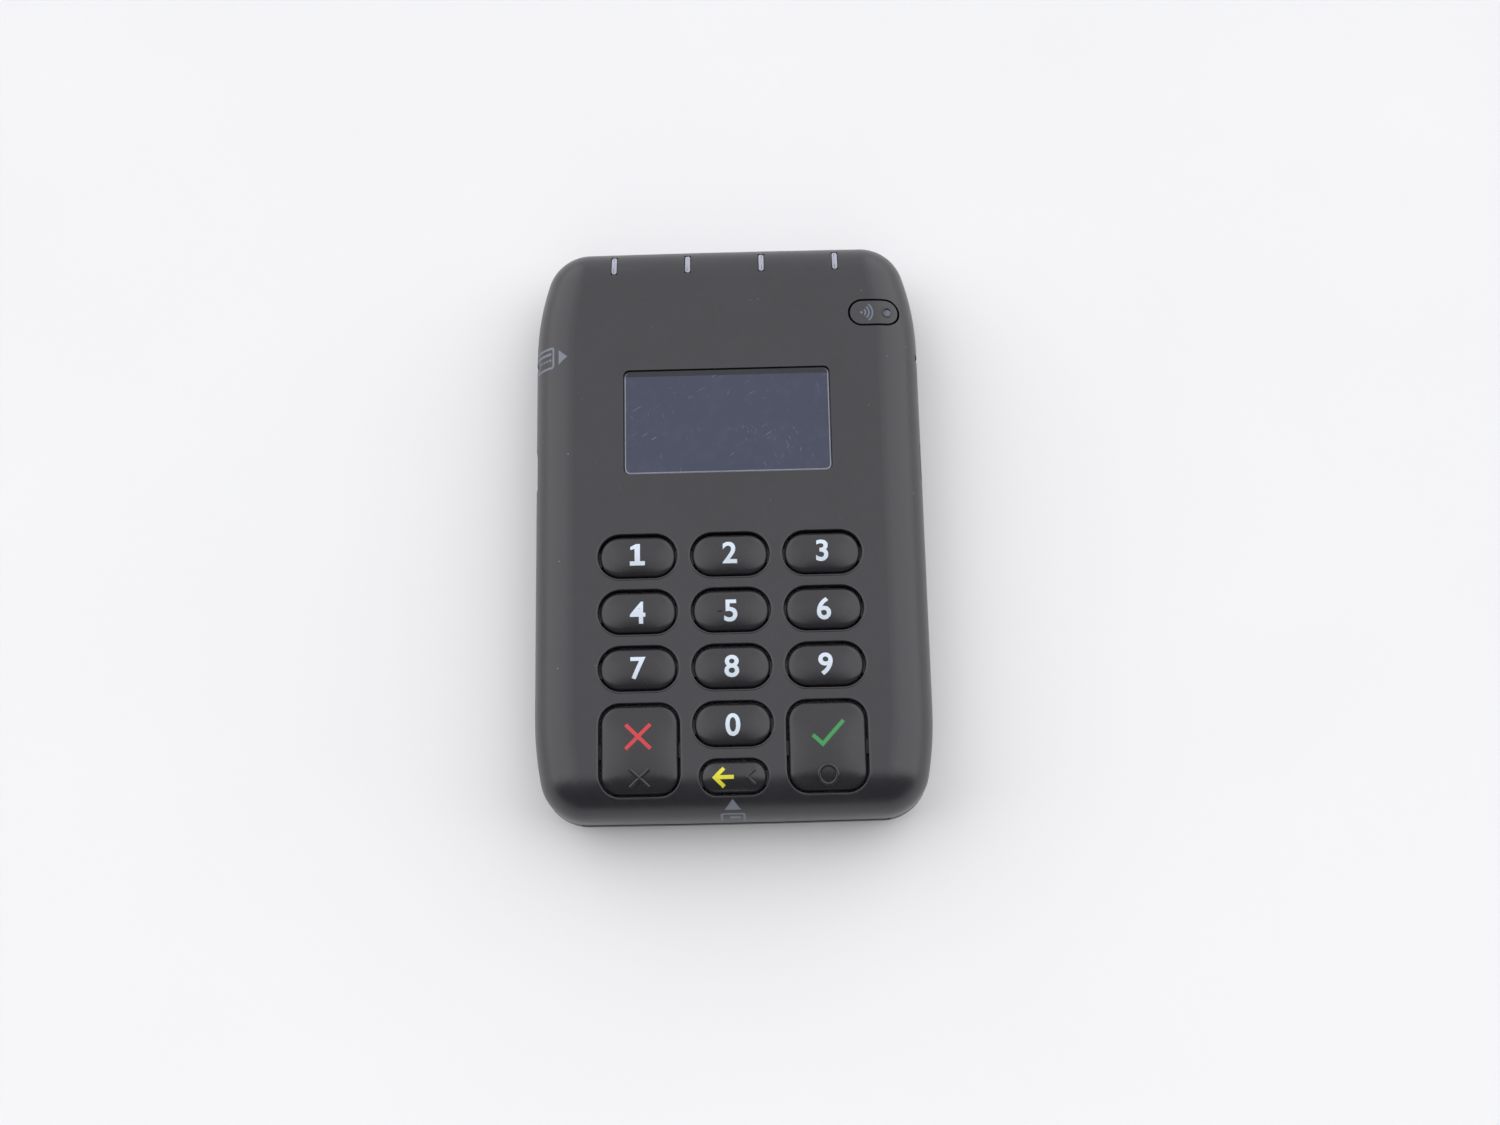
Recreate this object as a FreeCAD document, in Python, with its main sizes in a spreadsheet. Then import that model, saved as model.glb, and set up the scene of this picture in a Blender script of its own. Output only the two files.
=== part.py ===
import FreeCAD, Part
import math
import os
import re

import Sketcher
from FreeCAD import Vector

# Pocket card payment terminal.
# Frame: +X to the right of the face, +Y towards the end with the indicator lights, +Z out of the face.
# The origin lies on the table, under the middle of the casing.

# Driving dimensions in millimetres. Every alias holds an underscore, which is how bound() knows it.
SIZES = {
    # casing, outside
    "body_width": 71.0,
    "body_length": 107.7,
    "case_height": 18.0,        # face above the table
    "foot_height": 0.5,         # underside above the table
    "parting_height": 7.6,      # joint between the two covers, above the table
    "upper_taper_length": 20.8,     # from the upper end, where the sides start to curve in
    "upper_taper_radius": 50.5,
    "lower_taper_length": 18.9,
    "lower_taper_radius": 62.0,
    "corner_radius": 8.4,
    "bow_radius": 3000.0,       # both ends are all but straight
    "edge_round": 7.6,          # rounding of the face's edge
    "base_round": 5.0,          # rounding of the underside's edge
    # casing, inside
    "side_wall": 2.0,
    "face_wall": 2.0,
    "floor_wall": 1.8,
    "inner_round": 4.0,
    "inner_base_round": 3.0,
    "lip_wall": 0.9,
    "lip_height": 0.9,
    "fit_gap": 0.1,
    # keypad
    "column_pitch": 16.5,
    "row_pitch": 10.25,
    "row_one_edge": 46.63,      # first row from the lower end of the casing
    "key_width": 13.55,
    "key_depth": 7.45,
    "key_gap": 0.45,            # all round, between a key and its opening
    "clear_width": 11.5,
    "clear_depth": 5.5,
    "clear_edge": 6.63,
    "wide_key_width": 13.6,
    "wide_key_depth": 15.6,
    "wide_key_corner": 3.3,
    "wide_key_offset": 16.4,
    "wide_key_edge": 11.73,
    "key_rise": 0.55,           # crown of a key above the face
    "key_crown": 1.0,           # rounding of a key's upper edge
    "key_travel": 0.7,
    "tab_width": 0.6,           # retaining tabs at a key's sides, under the face
    "tab_length": 2.6,
    "tab_height": 0.8,
    "stem_height": 0.5,
    # display
    "lens_width": 37.6,
    "lens_depth": 19.9,
    "lens_corner": 1.0,
    "lens_edge": 35.67,         # middle of the lens from the upper end
    "lens_recess": 0.25,        # lens below the face
    "lens_thickness": 0.9,
    "gasket_thickness": 0.15,
    "gasket_width": 1.2,
    "glass_width": 38.0,
    "glass_depth": 19.0,
    "glass_thickness": 1.6,
    "frame_wall": 0.8,
    "frame_floor": 1.0,
    # radio button and its switch
    "radio_width": 8.8,
    "radio_depth": 4.5,
    "radio_offset": 27.45,
    "radio_edge": 15.37,
    "radio_gap": 0.4,
    "radio_travel": 0.5,
    "window_radius": 1.05,
    "window_offset": 2.4,       # window's middle from the button's middle
    # power button
    "power_length": 6.6,
    "power_height": 2.6,
    "power_level": 11.2,
    "power_gap": 0.2,
    "power_travel": 0.4,
    "power_flange": 0.7,
    # indicator lights
    "guide_width": 1.0,
    "guide_pitch": 13.7,
    "guide_reach": 6.5,         # inner end of a light from the upper end of the casing
    "guide_length": 4.15,
    "guide_bottom": 10.0,
    # card slots
    "card_slot_width": 55.0,
    "card_slot_height": 1.3,
    "chip_reach": 36.0,         # how far a card goes in
    "swipe_edge": 22.67,        # swipe slot from the upper end
    "swipe_width": 1.4,
    "swipe_wall": 1.4,
    "swipe_depth": 12.6,
    "swipe_roof": 1.2,
    "head_width": 9.0,
    "head_depth": 5.2,
    "head_height": 5.4,
    "head_proud": 0.35,         # nose of the head inside the slot
    "head_travel": 0.5,
    "spring_thickness": 0.3,
    # boards and screws
    "board_thickness": 1.0,
    "main_level": 8.9,          # underside of the main board
    "keypad_level": 12.2,       # underside of the keypad board and the top board
    "board_corner": 7.5,
    "board_gap": 0.3,
    "mat_thickness": 0.8,
    "dome_radius": 2.5,
    "dome_height": 0.3,
    "boss_inset": 4.5,
    "boss_radius": 2.0,
    "lower_boss_edge": 10.03,
    "upper_boss_edge": 31.67,
    "screw_radius": 1.0,
    "screw_head_radius": 1.85,
    "screw_head_height": 0.9,
    "screw_length": 10.0,
    "post_radius": 1.8,
    "post_inset": 9.3,
    "board_screw_radius": 0.7,
    "board_screw_head": 1.3,
    # battery and small parts
    "battery_width": 46.0,
    "battery_length": 38.0,
    "battery_thickness": 5.0,
    "usb_edge": 42.67,          # socket and power button from the upper end
    "usb_length": 6.0,
    "usb_width": 7.5,
    "usb_height": 2.7,
    "foot_radius": 3.6,
    "foot_sink": 0.4,
    "foot_inset_x": 11.5,
    "foot_inset_y": 10.8,
    "label_width": 40.0,
    "label_depth": 24.0,
    "label_thickness": 0.1,
}

doc = FreeCAD.newDocument("card_payment_terminal")
sheet = doc.addObject("Spreadsheet::Sheet", "sizes")
for row, (alias, size) in enumerate(SIZES.items(), start=1):
    sheet.set(f"A{row}", alias)
    sheet.set(f"B{row}", str(size))
    sheet.setAlias(f"B{row}", alias)
doc.recompute()

# Levels and places that several pieces share, as expressions of the sizes.
CEILING = "(case_height - face_wall)"
FLOOR = "(foot_height + floor_wall)"
FAR_END = "(body_length / 2)"
SWIPE_Y = f"({FAR_END} - swipe_edge)"
SWIPE_ROOF = "(foot_height + swipe_depth)"
LENS_Y = f"({FAR_END} - lens_edge)"
LENS_SEAT = "(case_height - lens_recess - lens_thickness - gasket_thickness)"
TAB_TOP = f"({CEILING} - fit_gap)"
TAB_BOTTOM = f"({TAB_TOP} - tab_height)"
KEYPAD_TOP = "(keypad_level + board_thickness)"
MAIN_TOP = "(main_level + board_thickness)"
BOARD_HALF = "(body_width / 2 - boss_inset - boss_radius - board_gap)"
BOSS_X = "(body_width / 2 - boss_inset)"
USB_Y = f"({FAR_END} - usb_edge)"
RADIO_Y = f"({FAR_END} - radio_edge)"
GUIDE_Y = f"({FAR_END} - guide_reach + guide_length / 2)"
CHIP_BOTTOM = "(parting_height - card_slot_height)"
POST_X = "(body_width / 2 - post_inset)"

pieces = {}


def value(expression):
    """Number that an expression of the sheet's cells gives now, in mm."""
    return float(sheet.evalExpression(str(expression)))


def bound(expression):
    """The same expression as the other objects of the document read it."""
    return re.sub(r"\b([a-z]+(?:_[a-z]+)+)\b", r"sizes.\1", str(expression))


def bind(thing, **properties):
    """Bind properties of an object, Placement.Base.x written as at_x, to expressions."""
    places = {"at_x": "Placement.Base.x", "at_y": "Placement.Base.y", "at_z": "Placement.Base.z"}
    for name, expression in properties.items():
        thing.setExpression(places.get(name, name), bound(expression))


def keep(thing, node):
    """Make an object one of the terminal's pieces."""
    thing.Label = node
    pieces[node] = thing
    return thing


# ---------------------------------------------------------------- sketches


def sketch_in(body, name, level=0, role="XY_Plane"):
    """Empty sketch at a level above one of the body's own origin planes."""
    sketch = body.newObject("Sketcher::SketchObject", name)
    plane = next(item for item in body.Origin.OriginFeatures if item.Role == role)
    sketch.AttachmentSupport = [(plane, "")]
    sketch.MapMode = "FlatFace"
    sketch.setExpression("AttachmentOffset.Base.z", bound(level))
    return sketch


def rule(sketch, kind, *where, size=None):
    """Add one constraint; a size is an expression of the sheet."""
    if size is None:
        return sketch.addConstraint(Sketcher.Constraint(kind, *where))
    index = sketch.addConstraint(Sketcher.Constraint(kind, *where, value(size)))
    sketch.setExpression(f"Constraints[{index}]", bound(size))
    return index


def add_arc(sketch, x, y, radius, start, end):
    """Arc from start to end, in degrees anticlockwise, about a point."""
    circle = Part.Circle(Vector(x, y, 0), Vector(0, 0, 1), radius)
    return sketch.addGeometry(Part.ArcOfCircle(circle, math.radians(start), math.radians(end)))


def add_line(sketch, start, end):
    return sketch.addGeometry(Part.LineSegment(Vector(*start, 0), Vector(*end, 0)))


def add_circle(sketch, x, y, radius):
    """Circle of a bound radius about a bound point."""
    circle = Part.Circle(Vector(value(x), value(y), 0), Vector(0, 0, 1), value(radius))
    ring = sketch.addGeometry(circle)
    rule(sketch, "Radius", ring, size=radius)
    rule(sketch, "DistanceX", -1, 1, ring, 3, size=x)
    rule(sketch, "DistanceY", -1, 1, ring, 3, size=y)


def add_rectangle(sketch, x, y, width, depth):
    """Rectangle of bound sides about a bound middle."""
    left, right = value(f"{x} - ({width}) / 2"), value(f"{x} + ({width}) / 2")
    low, high = value(f"{y} - ({depth}) / 2"), value(f"{y} + ({depth}) / 2")
    corners = [(left, low), (right, low), (right, high), (left, high)]
    lines = [add_line(sketch, corners[i], corners[(i + 1) % 4]) for i in range(4)]
    for i, line in enumerate(lines):
        rule(sketch, "Coincident", line, 2, lines[(i + 1) % 4], 1)
        rule(sketch, "Horizontal" if i % 2 == 0 else "Vertical", line)
    rule(sketch, "DistanceX", -1, 1, lines[0], 1, size=f"{x} - ({width}) / 2")
    rule(sketch, "DistanceX", -1, 1, lines[0], 2, size=f"{x} + ({width}) / 2")
    rule(sketch, "DistanceY", -1, 1, lines[0], 1, size=f"{y} - ({depth}) / 2")
    rule(sketch, "DistanceY", -1, 1, lines[1], 2, size=f"{y} + ({depth}) / 2")


def add_rounded(sketch, x, y, width, depth, corner):
    """Rectangle with rounded corners: four lines and four tangent arcs."""
    left, right = value(f"{x} - ({width}) / 2"), value(f"{x} + ({width}) / 2")
    low, high = value(f"{y} - ({depth}) / 2"), value(f"{y} + ({depth}) / 2")
    r = value(corner)
    lines = [
        add_line(sketch, (left + r, low), (right - r, low)),
        add_line(sketch, (right, low + r), (right, high - r)),
        add_line(sketch, (right - r, high), (left + r, high)),
        add_line(sketch, (left, high - r), (left, low + r)),
    ]
    centres = [(right - r, low + r), (right - r, high - r), (left + r, high - r), (left + r, low + r)]
    arcs = [add_arc(sketch, *centre, r, 90 * i - 90, 90 * i) for i, centre in enumerate(centres)]
    for i in range(4):
        rule(sketch, "Tangent", lines[i], 2, arcs[i], 1)
        rule(sketch, "Tangent", arcs[i], 2, lines[(i + 1) % 4], 1)
        rule(sketch, "Horizontal" if i % 2 == 0 else "Vertical", lines[i])
    for arc in arcs[1:]:
        rule(sketch, "Equal", arcs[0], arc)
    rule(sketch, "Radius", arcs[0], size=corner)
    rule(sketch, "DistanceX", -1, 1, lines[3], 1, size=f"{x} - ({width}) / 2")
    rule(sketch, "DistanceX", -1, 1, lines[1], 1, size=f"{x} + ({width}) / 2")
    rule(sketch, "DistanceY", -1, 1, lines[0], 1, size=f"{y} - ({depth}) / 2")
    rule(sketch, "DistanceY", -1, 1, lines[2], 1, size=f"{y} + ({depth}) / 2")


def add_stadium(sketch, x, y, width, depth):
    """Strip with round ends: two lines and two half circles."""
    half = value(f"({width}) / 2 - ({depth}) / 2")
    r = value(f"({depth}) / 2")
    cx, cy = value(x), value(y)
    low = add_line(sketch, (cx - half, cy - r), (cx + half, cy - r))
    right = add_arc(sketch, cx + half, cy, r, -90, 90)
    high = add_line(sketch, (cx + half, cy + r), (cx - half, cy + r))
    left = add_arc(sketch, cx - half, cy, r, 90, 270)
    ring = [low, right, high, left]
    for i, edge in enumerate(ring):
        rule(sketch, "Tangent", edge, 2, ring[(i + 1) % 4], 1)
    rule(sketch, "Horizontal", low)
    rule(sketch, "Horizontal", high)
    rule(sketch, "Radius", right, size=f"({depth}) / 2")
    rule(sketch, "DistanceX", -1, 1, right, 3, size=f"{x} + ({width}) / 2 - ({depth}) / 2")
    rule(sketch, "DistanceX", -1, 1, left, 3, size=f"{x} - ({width}) / 2 + ({depth}) / 2")
    rule(sketch, "DistanceY", -1, 1, right, 3, size=y)


class EndCorner:
    """Arcs of a quarter of the casing outline at one end, worked out for the quarter with X and Y above 0."""

    def __init__(self, end):
        half_width, half_length = value("body_width / 2"), value("body_length / 2")
        self.slow, self.tight = value(f"{end}_taper_radius"), value("corner_radius")
        self.bow = value("bow_radius")
        self.start_y = half_length - value(f"{end}_taper_length")
        self.slow_centre = Vector(half_width - self.slow, self.start_y, 0)
        self.bow_centre = Vector(0, half_length - self.bow, 0)
        # The tight arc touches both others from inside: its centre is where two circles cross.
        reach_a, reach_b = self.slow - self.tight, self.bow - self.tight
        span = self.bow_centre - self.slow_centre
        gap = span.Length
        along = (reach_a ** 2 - reach_b ** 2 + gap ** 2) / (2 * gap)
        across = math.sqrt(reach_a ** 2 - along ** 2)
        direction = span.normalize()
        self.tight_centre = (self.slow_centre + direction * along
                             + Vector(-direction.y, direction.x, 0) * across)
        self.turn_a = self.angle_from(self.slow_centre)
        self.turn_b = self.angle_from(self.bow_centre)

    def angle_from(self, centre):
        """Direction from another arc's centre to the tight arc's, in degrees."""
        away = self.tight_centre - centre
        return math.degrees(math.atan2(away.y, away.x))

    def draw(self, sketch, sx, sy, shift):
        """Add the slow arc and the tight arc of the quarter on the sides sx and sy."""
        drawn = []
        for centre, radius, first, last in ((self.slow_centre, self.slow, 0, self.turn_a),
                                            (self.tight_centre, self.tight, self.turn_a, self.turn_b)):
            turns = [first, last]
            if sx < 0:
                turns = [180 - last, 180 - first]
            if sy < 0:
                turns = [-turns[1], -turns[0]]
            drawn.append(add_arc(sketch, sx * centre.x, sy * centre.y, radius - shift, *turns))
        return drawn


def add_case_outline(sketch, inset):
    """Casing outline, moved inwards by an inset.

    Each side runs straight, curves in slowly, then turns a tight corner into a slightly bowed end.
    Every arc is tangent to the next, so an inset only shortens the radii.
    """
    edge_x, shift = value(f"body_width / 2 - ({inset})"), value(inset)
    ends, quarters, starts = {}, {}, {}
    for sy, end in ((1, "upper"), (-1, "lower")):
        corner = EndCorner(end)
        starts[sy] = sy * corner.start_y
        ends[sy] = add_arc(sketch, 0, sy * corner.bow_centre.y, corner.bow - shift,
                           90 * sy - (90 - corner.turn_b), 90 * sy + (90 - corner.turn_b))
        for sx in (1, -1):
            quarters[sx, sy] = corner.draw(sketch, sx, sy, shift)
    sides = {
        1: add_line(sketch, (edge_x, starts[-1]), (edge_x, starts[1])),
        -1: add_line(sketch, (-edge_x, starts[1]), (-edge_x, starts[-1])),
    }
    slow_ne, tight_ne = quarters[1, 1]
    slow_nw, tight_nw = quarters[-1, 1]
    slow_sw, tight_sw = quarters[-1, -1]
    slow_se, tight_se = quarters[1, -1]
    ring = [sides[1], slow_ne, tight_ne, ends[1], tight_nw, slow_nw,
            sides[-1], slow_sw, tight_sw, ends[-1], tight_se, slow_se]
    for i, edge in enumerate(ring):
        rule(sketch, "Tangent", edge, 2, ring[(i + 1) % len(ring)], 1)
    for side in sides.values():
        rule(sketch, "Vertical", side)
    for x_side, side in sides.items():
        rule(sketch, "DistanceX", -1, 1, side, 1, size=f"{x_side} * (body_width / 2 - ({inset}))")
    for y_side, end in ends.items():
        rule(sketch, "Radius", end, size=f"bow_radius - ({inset})")
        rule(sketch, "DistanceX", -1, 1, end, 3, size="0")
        rule(sketch, "DistanceY", -1, 1, end, 3, size=f"{y_side} * (body_length / 2 - bow_radius)")
    for (_, y_side), (slow_arc, tight_arc) in quarters.items():
        end = "upper" if y_side > 0 else "lower"
        rule(sketch, "Radius", slow_arc, size=f"{end}_taper_radius - ({inset})")
        rule(sketch, "Radius", tight_arc, size=f"corner_radius - ({inset})")
        rule(sketch, "DistanceY", -1, 1, slow_arc, 3,
             size=f"{y_side} * (body_length / 2 - {end}_taper_length)")


# ---------------------------------------------------------------- solid features


def new_body(node, keep_it=True):
    body = doc.addObject("PartDesign::Body", node)
    return keep(body, node) if keep_it else body


def pad(body, sketch, height, down=False):
    """Raise a sketch by a bound height; down turns it over."""
    feature = body.newObject("PartDesign::Pad", sketch.Name + "_pad")
    feature.Profile = sketch
    feature.setExpression("Length", bound(height))
    feature.Reversed = down
    return feature


def pocket(body, sketch, depth, up=False):
    """Cut a sketch to a bound depth, downwards unless up is set, and see that it cut something."""
    doc.recompute()
    before = body.Shape.Volume
    feature = body.newObject("PartDesign::Pocket", sketch.Name + "_cut")
    feature.Profile = sketch
    feature.setExpression("Length", bound(depth))
    feature.Reversed = up
    doc.recompute()
    if feature.Shape.isNull() or body.Shape.Volume > before - 1e-3:
        raise RuntimeError(f"{body.Label}: {sketch.Name} cuts nothing")
    return feature


def level_edges(shape, level):
    """Names of the edges that lie flat at a level."""
    names = []
    for number, edge in enumerate(shape.Edges, start=1):
        box = edge.BoundBox
        if abs(box.ZMin - level) < 1e-4 and abs(box.ZMax - level) < 1e-4:
            names.append(f"Edge{number}")
    return names


def fillet(body, base, level, radius):
    """Round the edges of a feature that lie at a level."""
    doc.recompute()
    names = level_edges(base.Shape, value(level))
    if not names:
        raise RuntimeError(f"{body.Label}: no edge at {level}")
    feature = body.newObject("PartDesign::Fillet", base.Name + "_round")
    feature.Base = (base, names)
    feature.setExpression("Radius", bound(radius))
    doc.recompute()
    return feature


def carve(body, core, name):
    """Take a helper body's solid out of a piece."""
    doc.recompute()
    feature = body.newObject("PartDesign::Boolean", name)
    feature.setObjects([core])
    feature.Type = "Cut"
    doc.recompute()
    return feature


def make_core(name, low, high, inset, rounded_level, radius):
    """Helper body: the casing outline moved inwards, between two levels, with one end rounded."""
    body = new_body(name, keep_it=False)
    sketch = sketch_in(body, name + "_outline", low)
    add_case_outline(sketch, inset)
    block_up = pad(body, sketch, f"{high} - {low}")
    fillet(body, block_up, rounded_level, radius)
    return body


def block(name, x, y, bottom, width, depth, height):
    """Box about a bound middle, standing on a bound level."""
    box = doc.addObject("Part::Box", name)
    bind(box, Length=width, Width=depth, Height=height,
         at_x=f"{x} - ({width}) / 2", at_y=f"{y} - ({depth}) / 2", at_z=bottom)
    return box


def post(name, x, y, bottom, radius, height):
    """Upright cylinder about a bound middle."""
    cylinder = doc.addObject("Part::Cylinder", name)
    bind(cylinder, Radius=radius, Height=height, at_x=x, at_y=y, at_z=bottom)
    return cylinder


def cut(name, base, tool):
    result = doc.addObject("Part::Cut", name)
    result.Base = base
    result.Tool = tool
    return result


def common(name, base, tool):
    result = doc.addObject("Part::Common", name)
    result.Base = base
    result.Tool = tool
    return result


def fuse(name, *members):
    result = doc.addObject("Part::MultiFuse", name)
    result.Shapes = list(members)
    return result


def group(name, members):
    """Several separate solids as one object."""
    result = doc.addObject("Part::Compound", name)
    result.Links = list(members)
    return result


# ---------------------------------------------------------------- key layout


class Key:
    """One key: its node name, middle, size and corner."""

    def __init__(self, node, x, y, width, depth, corner=None):
        self.node = node
        self.x = x
        self.y = y
        self.width = width
        self.depth = depth
        self.corner = corner

    def draw(self, sketch, at_home, grow):
        """Draw the outline, at the key's place or at the sketch's own middle."""
        x, y = ("0", "0") if at_home else (self.x, self.y)
        width, depth = f"{self.width} + 2 * ({grow})", f"{self.depth} + 2 * ({grow})"
        if self.corner is None:
            add_stadium(sketch, x, y, width, depth)
        else:
            add_rounded(sketch, x, y, width, depth, f"{self.corner} + ({grow})")


def from_low_end(distance):
    return f"({distance} - body_length / 2)"


def row_y(row):
    return from_low_end(f"row_one_edge - {row} * row_pitch")


KEYS = [
    Key(f"key_{3 * row + column + 1}", f"{column - 1} * column_pitch", row_y(row), "key_width", "key_depth")
    for row in range(3)
    for column in range(3)
]
KEYS += [
    Key("key_0", "0", row_y(3), "key_width", "key_depth"),
    Key("key_clear", "0", from_low_end("clear_edge"), "clear_width", "clear_depth"),
    Key("key_cancel", "-wide_key_offset", from_low_end("wide_key_edge"),
        "wide_key_width", "wide_key_depth", "wide_key_corner"),
    Key("key_enter", "wide_key_offset", from_low_end("wide_key_edge"),
        "wide_key_width", "wide_key_depth", "wide_key_corner"),
]

CASE_SCREWS = [
    (f"{side} * {BOSS_X}", place)
    for side in (-1, 1)
    for place in (from_low_end("lower_boss_edge"), f"({FAR_END} - upper_boss_edge)")
]
MAIN_POSTS = [
    (f"{side} * {POST_X}", place)
    for side in (-1, 1)
    for place in (f"({SWIPE_Y} - 11)", f"({SWIPE_Y} - 43)")
]
GUIDE_PLACES = [f"{step} * guide_pitch" for step in (-1.5, -0.5, 0.5, 1.5)]


# ---------------------------------------------------------------- casing


def make_casing_form():
    """Solid upper half of the casing, to which the button and the lights are trimmed."""
    return make_core("casing_form", "parting_height", "case_height", "0", "case_height", "edge_round")


def make_front_cover():
    body = new_body("front_cover")
    outline = sketch_in(body, "front_outline", "parting_height")
    add_case_outline(outline, "0")
    raised = pad(body, outline, "case_height - parting_height")
    fillet(body, raised, "case_height", "edge_round")
    hollow = make_core("front_hollow", "parting_height", CEILING, "side_wall", CEILING, "inner_round")
    carve(body, hollow, "front_cavity")
    rebate = sketch_in(body, "front_rebate", "parting_height")
    add_case_outline(rebate, "side_wall - lip_wall - fit_gap")
    pocket(body, rebate, "lip_height + fit_gap", up=True)

    bosses = sketch_in(body, "front_bosses", "parting_height + lip_height + fit_gap")
    for x, y in CASE_SCREWS:
        add_circle(bosses, x, y, "boss_radius")
    pad(body, bosses, f"{CEILING} - parting_height - lip_height - 1")
    pilots = sketch_in(body, "front_pilots", "parting_height")
    for x, y in CASE_SCREWS:
        add_circle(pilots, x, y, "screw_radius + 0.05")
    pocket(body, pilots, "screw_length - 3", up=True)
    posts = sketch_in(body, "keypad_posts", KEYPAD_TOP)
    for x, y in keypad_screw_places():
        add_circle(posts, x, y, "post_radius - 0.2")
    pad(body, posts, f"{CEILING} - {KEYPAD_TOP}")
    threads = sketch_in(body, "keypad_threads", KEYPAD_TOP)
    for x, y in keypad_screw_places():
        add_circle(threads, x, y, "board_screw_radius + 0.05")
    pocket(body, threads, f"{CEILING} - {KEYPAD_TOP} - 0.2", up=True)

    keys = sketch_in(body, "key_openings", "case_height")
    for key in KEYS:
        key.draw(keys, False, "key_gap")
    pocket(body, keys, "face_wall * 2")
    radio = sketch_in(body, "radio_opening", "case_height")
    add_stadium(radio, "radio_offset", RADIO_Y, "radio_width + 2 * radio_gap", "radio_depth + 2 * radio_gap")
    pocket(body, radio, "edge_round")

    seat = sketch_in(body, "lens_seat", "case_height")
    add_rounded(seat, "0", LENS_Y, "lens_width + 2 * fit_gap", "lens_depth + 2 * fit_gap",
                "lens_corner + fit_gap")
    pocket(body, seat, f"case_height - {LENS_SEAT}")
    view = sketch_in(body, "display_opening", LENS_SEAT)
    add_rectangle(view, "0", LENS_Y, "lens_width - 2 * gasket_width", "lens_depth - 2 * gasket_width")
    pocket(body, view, "face_wall")

    lights = sketch_in(body, "light_slots", "case_height")
    for x in GUIDE_PLACES:
        add_rectangle(lights, x, GUIDE_Y, "guide_width + 2 * fit_gap", "guide_length + 2 * fit_gap")
    pocket(body, lights, "case_height - guide_bottom + fit_gap")
    swipe = sketch_in(body, "swipe_slits", SWIPE_ROOF)
    for side in (-1, 1):
        add_rectangle(swipe, f"{side} * body_width / 2", SWIPE_Y, "4 * side_wall", "swipe_width")
    pocket(body, swipe, "swipe_depth")
    socket = sketch_in(body, "usb_opening", "0", "YZ_Plane")
    socket.setExpression("AttachmentOffset.Base.z", bound("-body_width / 2 - 1"))
    add_rounded(socket, USB_Y, f"{MAIN_TOP} + usb_height / 2", "usb_width + 0.6", "usb_height + 0.6", "1")
    pocket(body, socket, "2 * side_wall", up=True)
    power = sketch_in(body, "power_opening", "body_width / 2 + 1", "YZ_Plane")
    add_rounded(power, USB_Y, "power_level", "power_length + 2 * power_gap",
                "power_height + 2 * power_gap", "0.9")
    pocket(body, power, "2 * side_wall")
    return body


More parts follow.
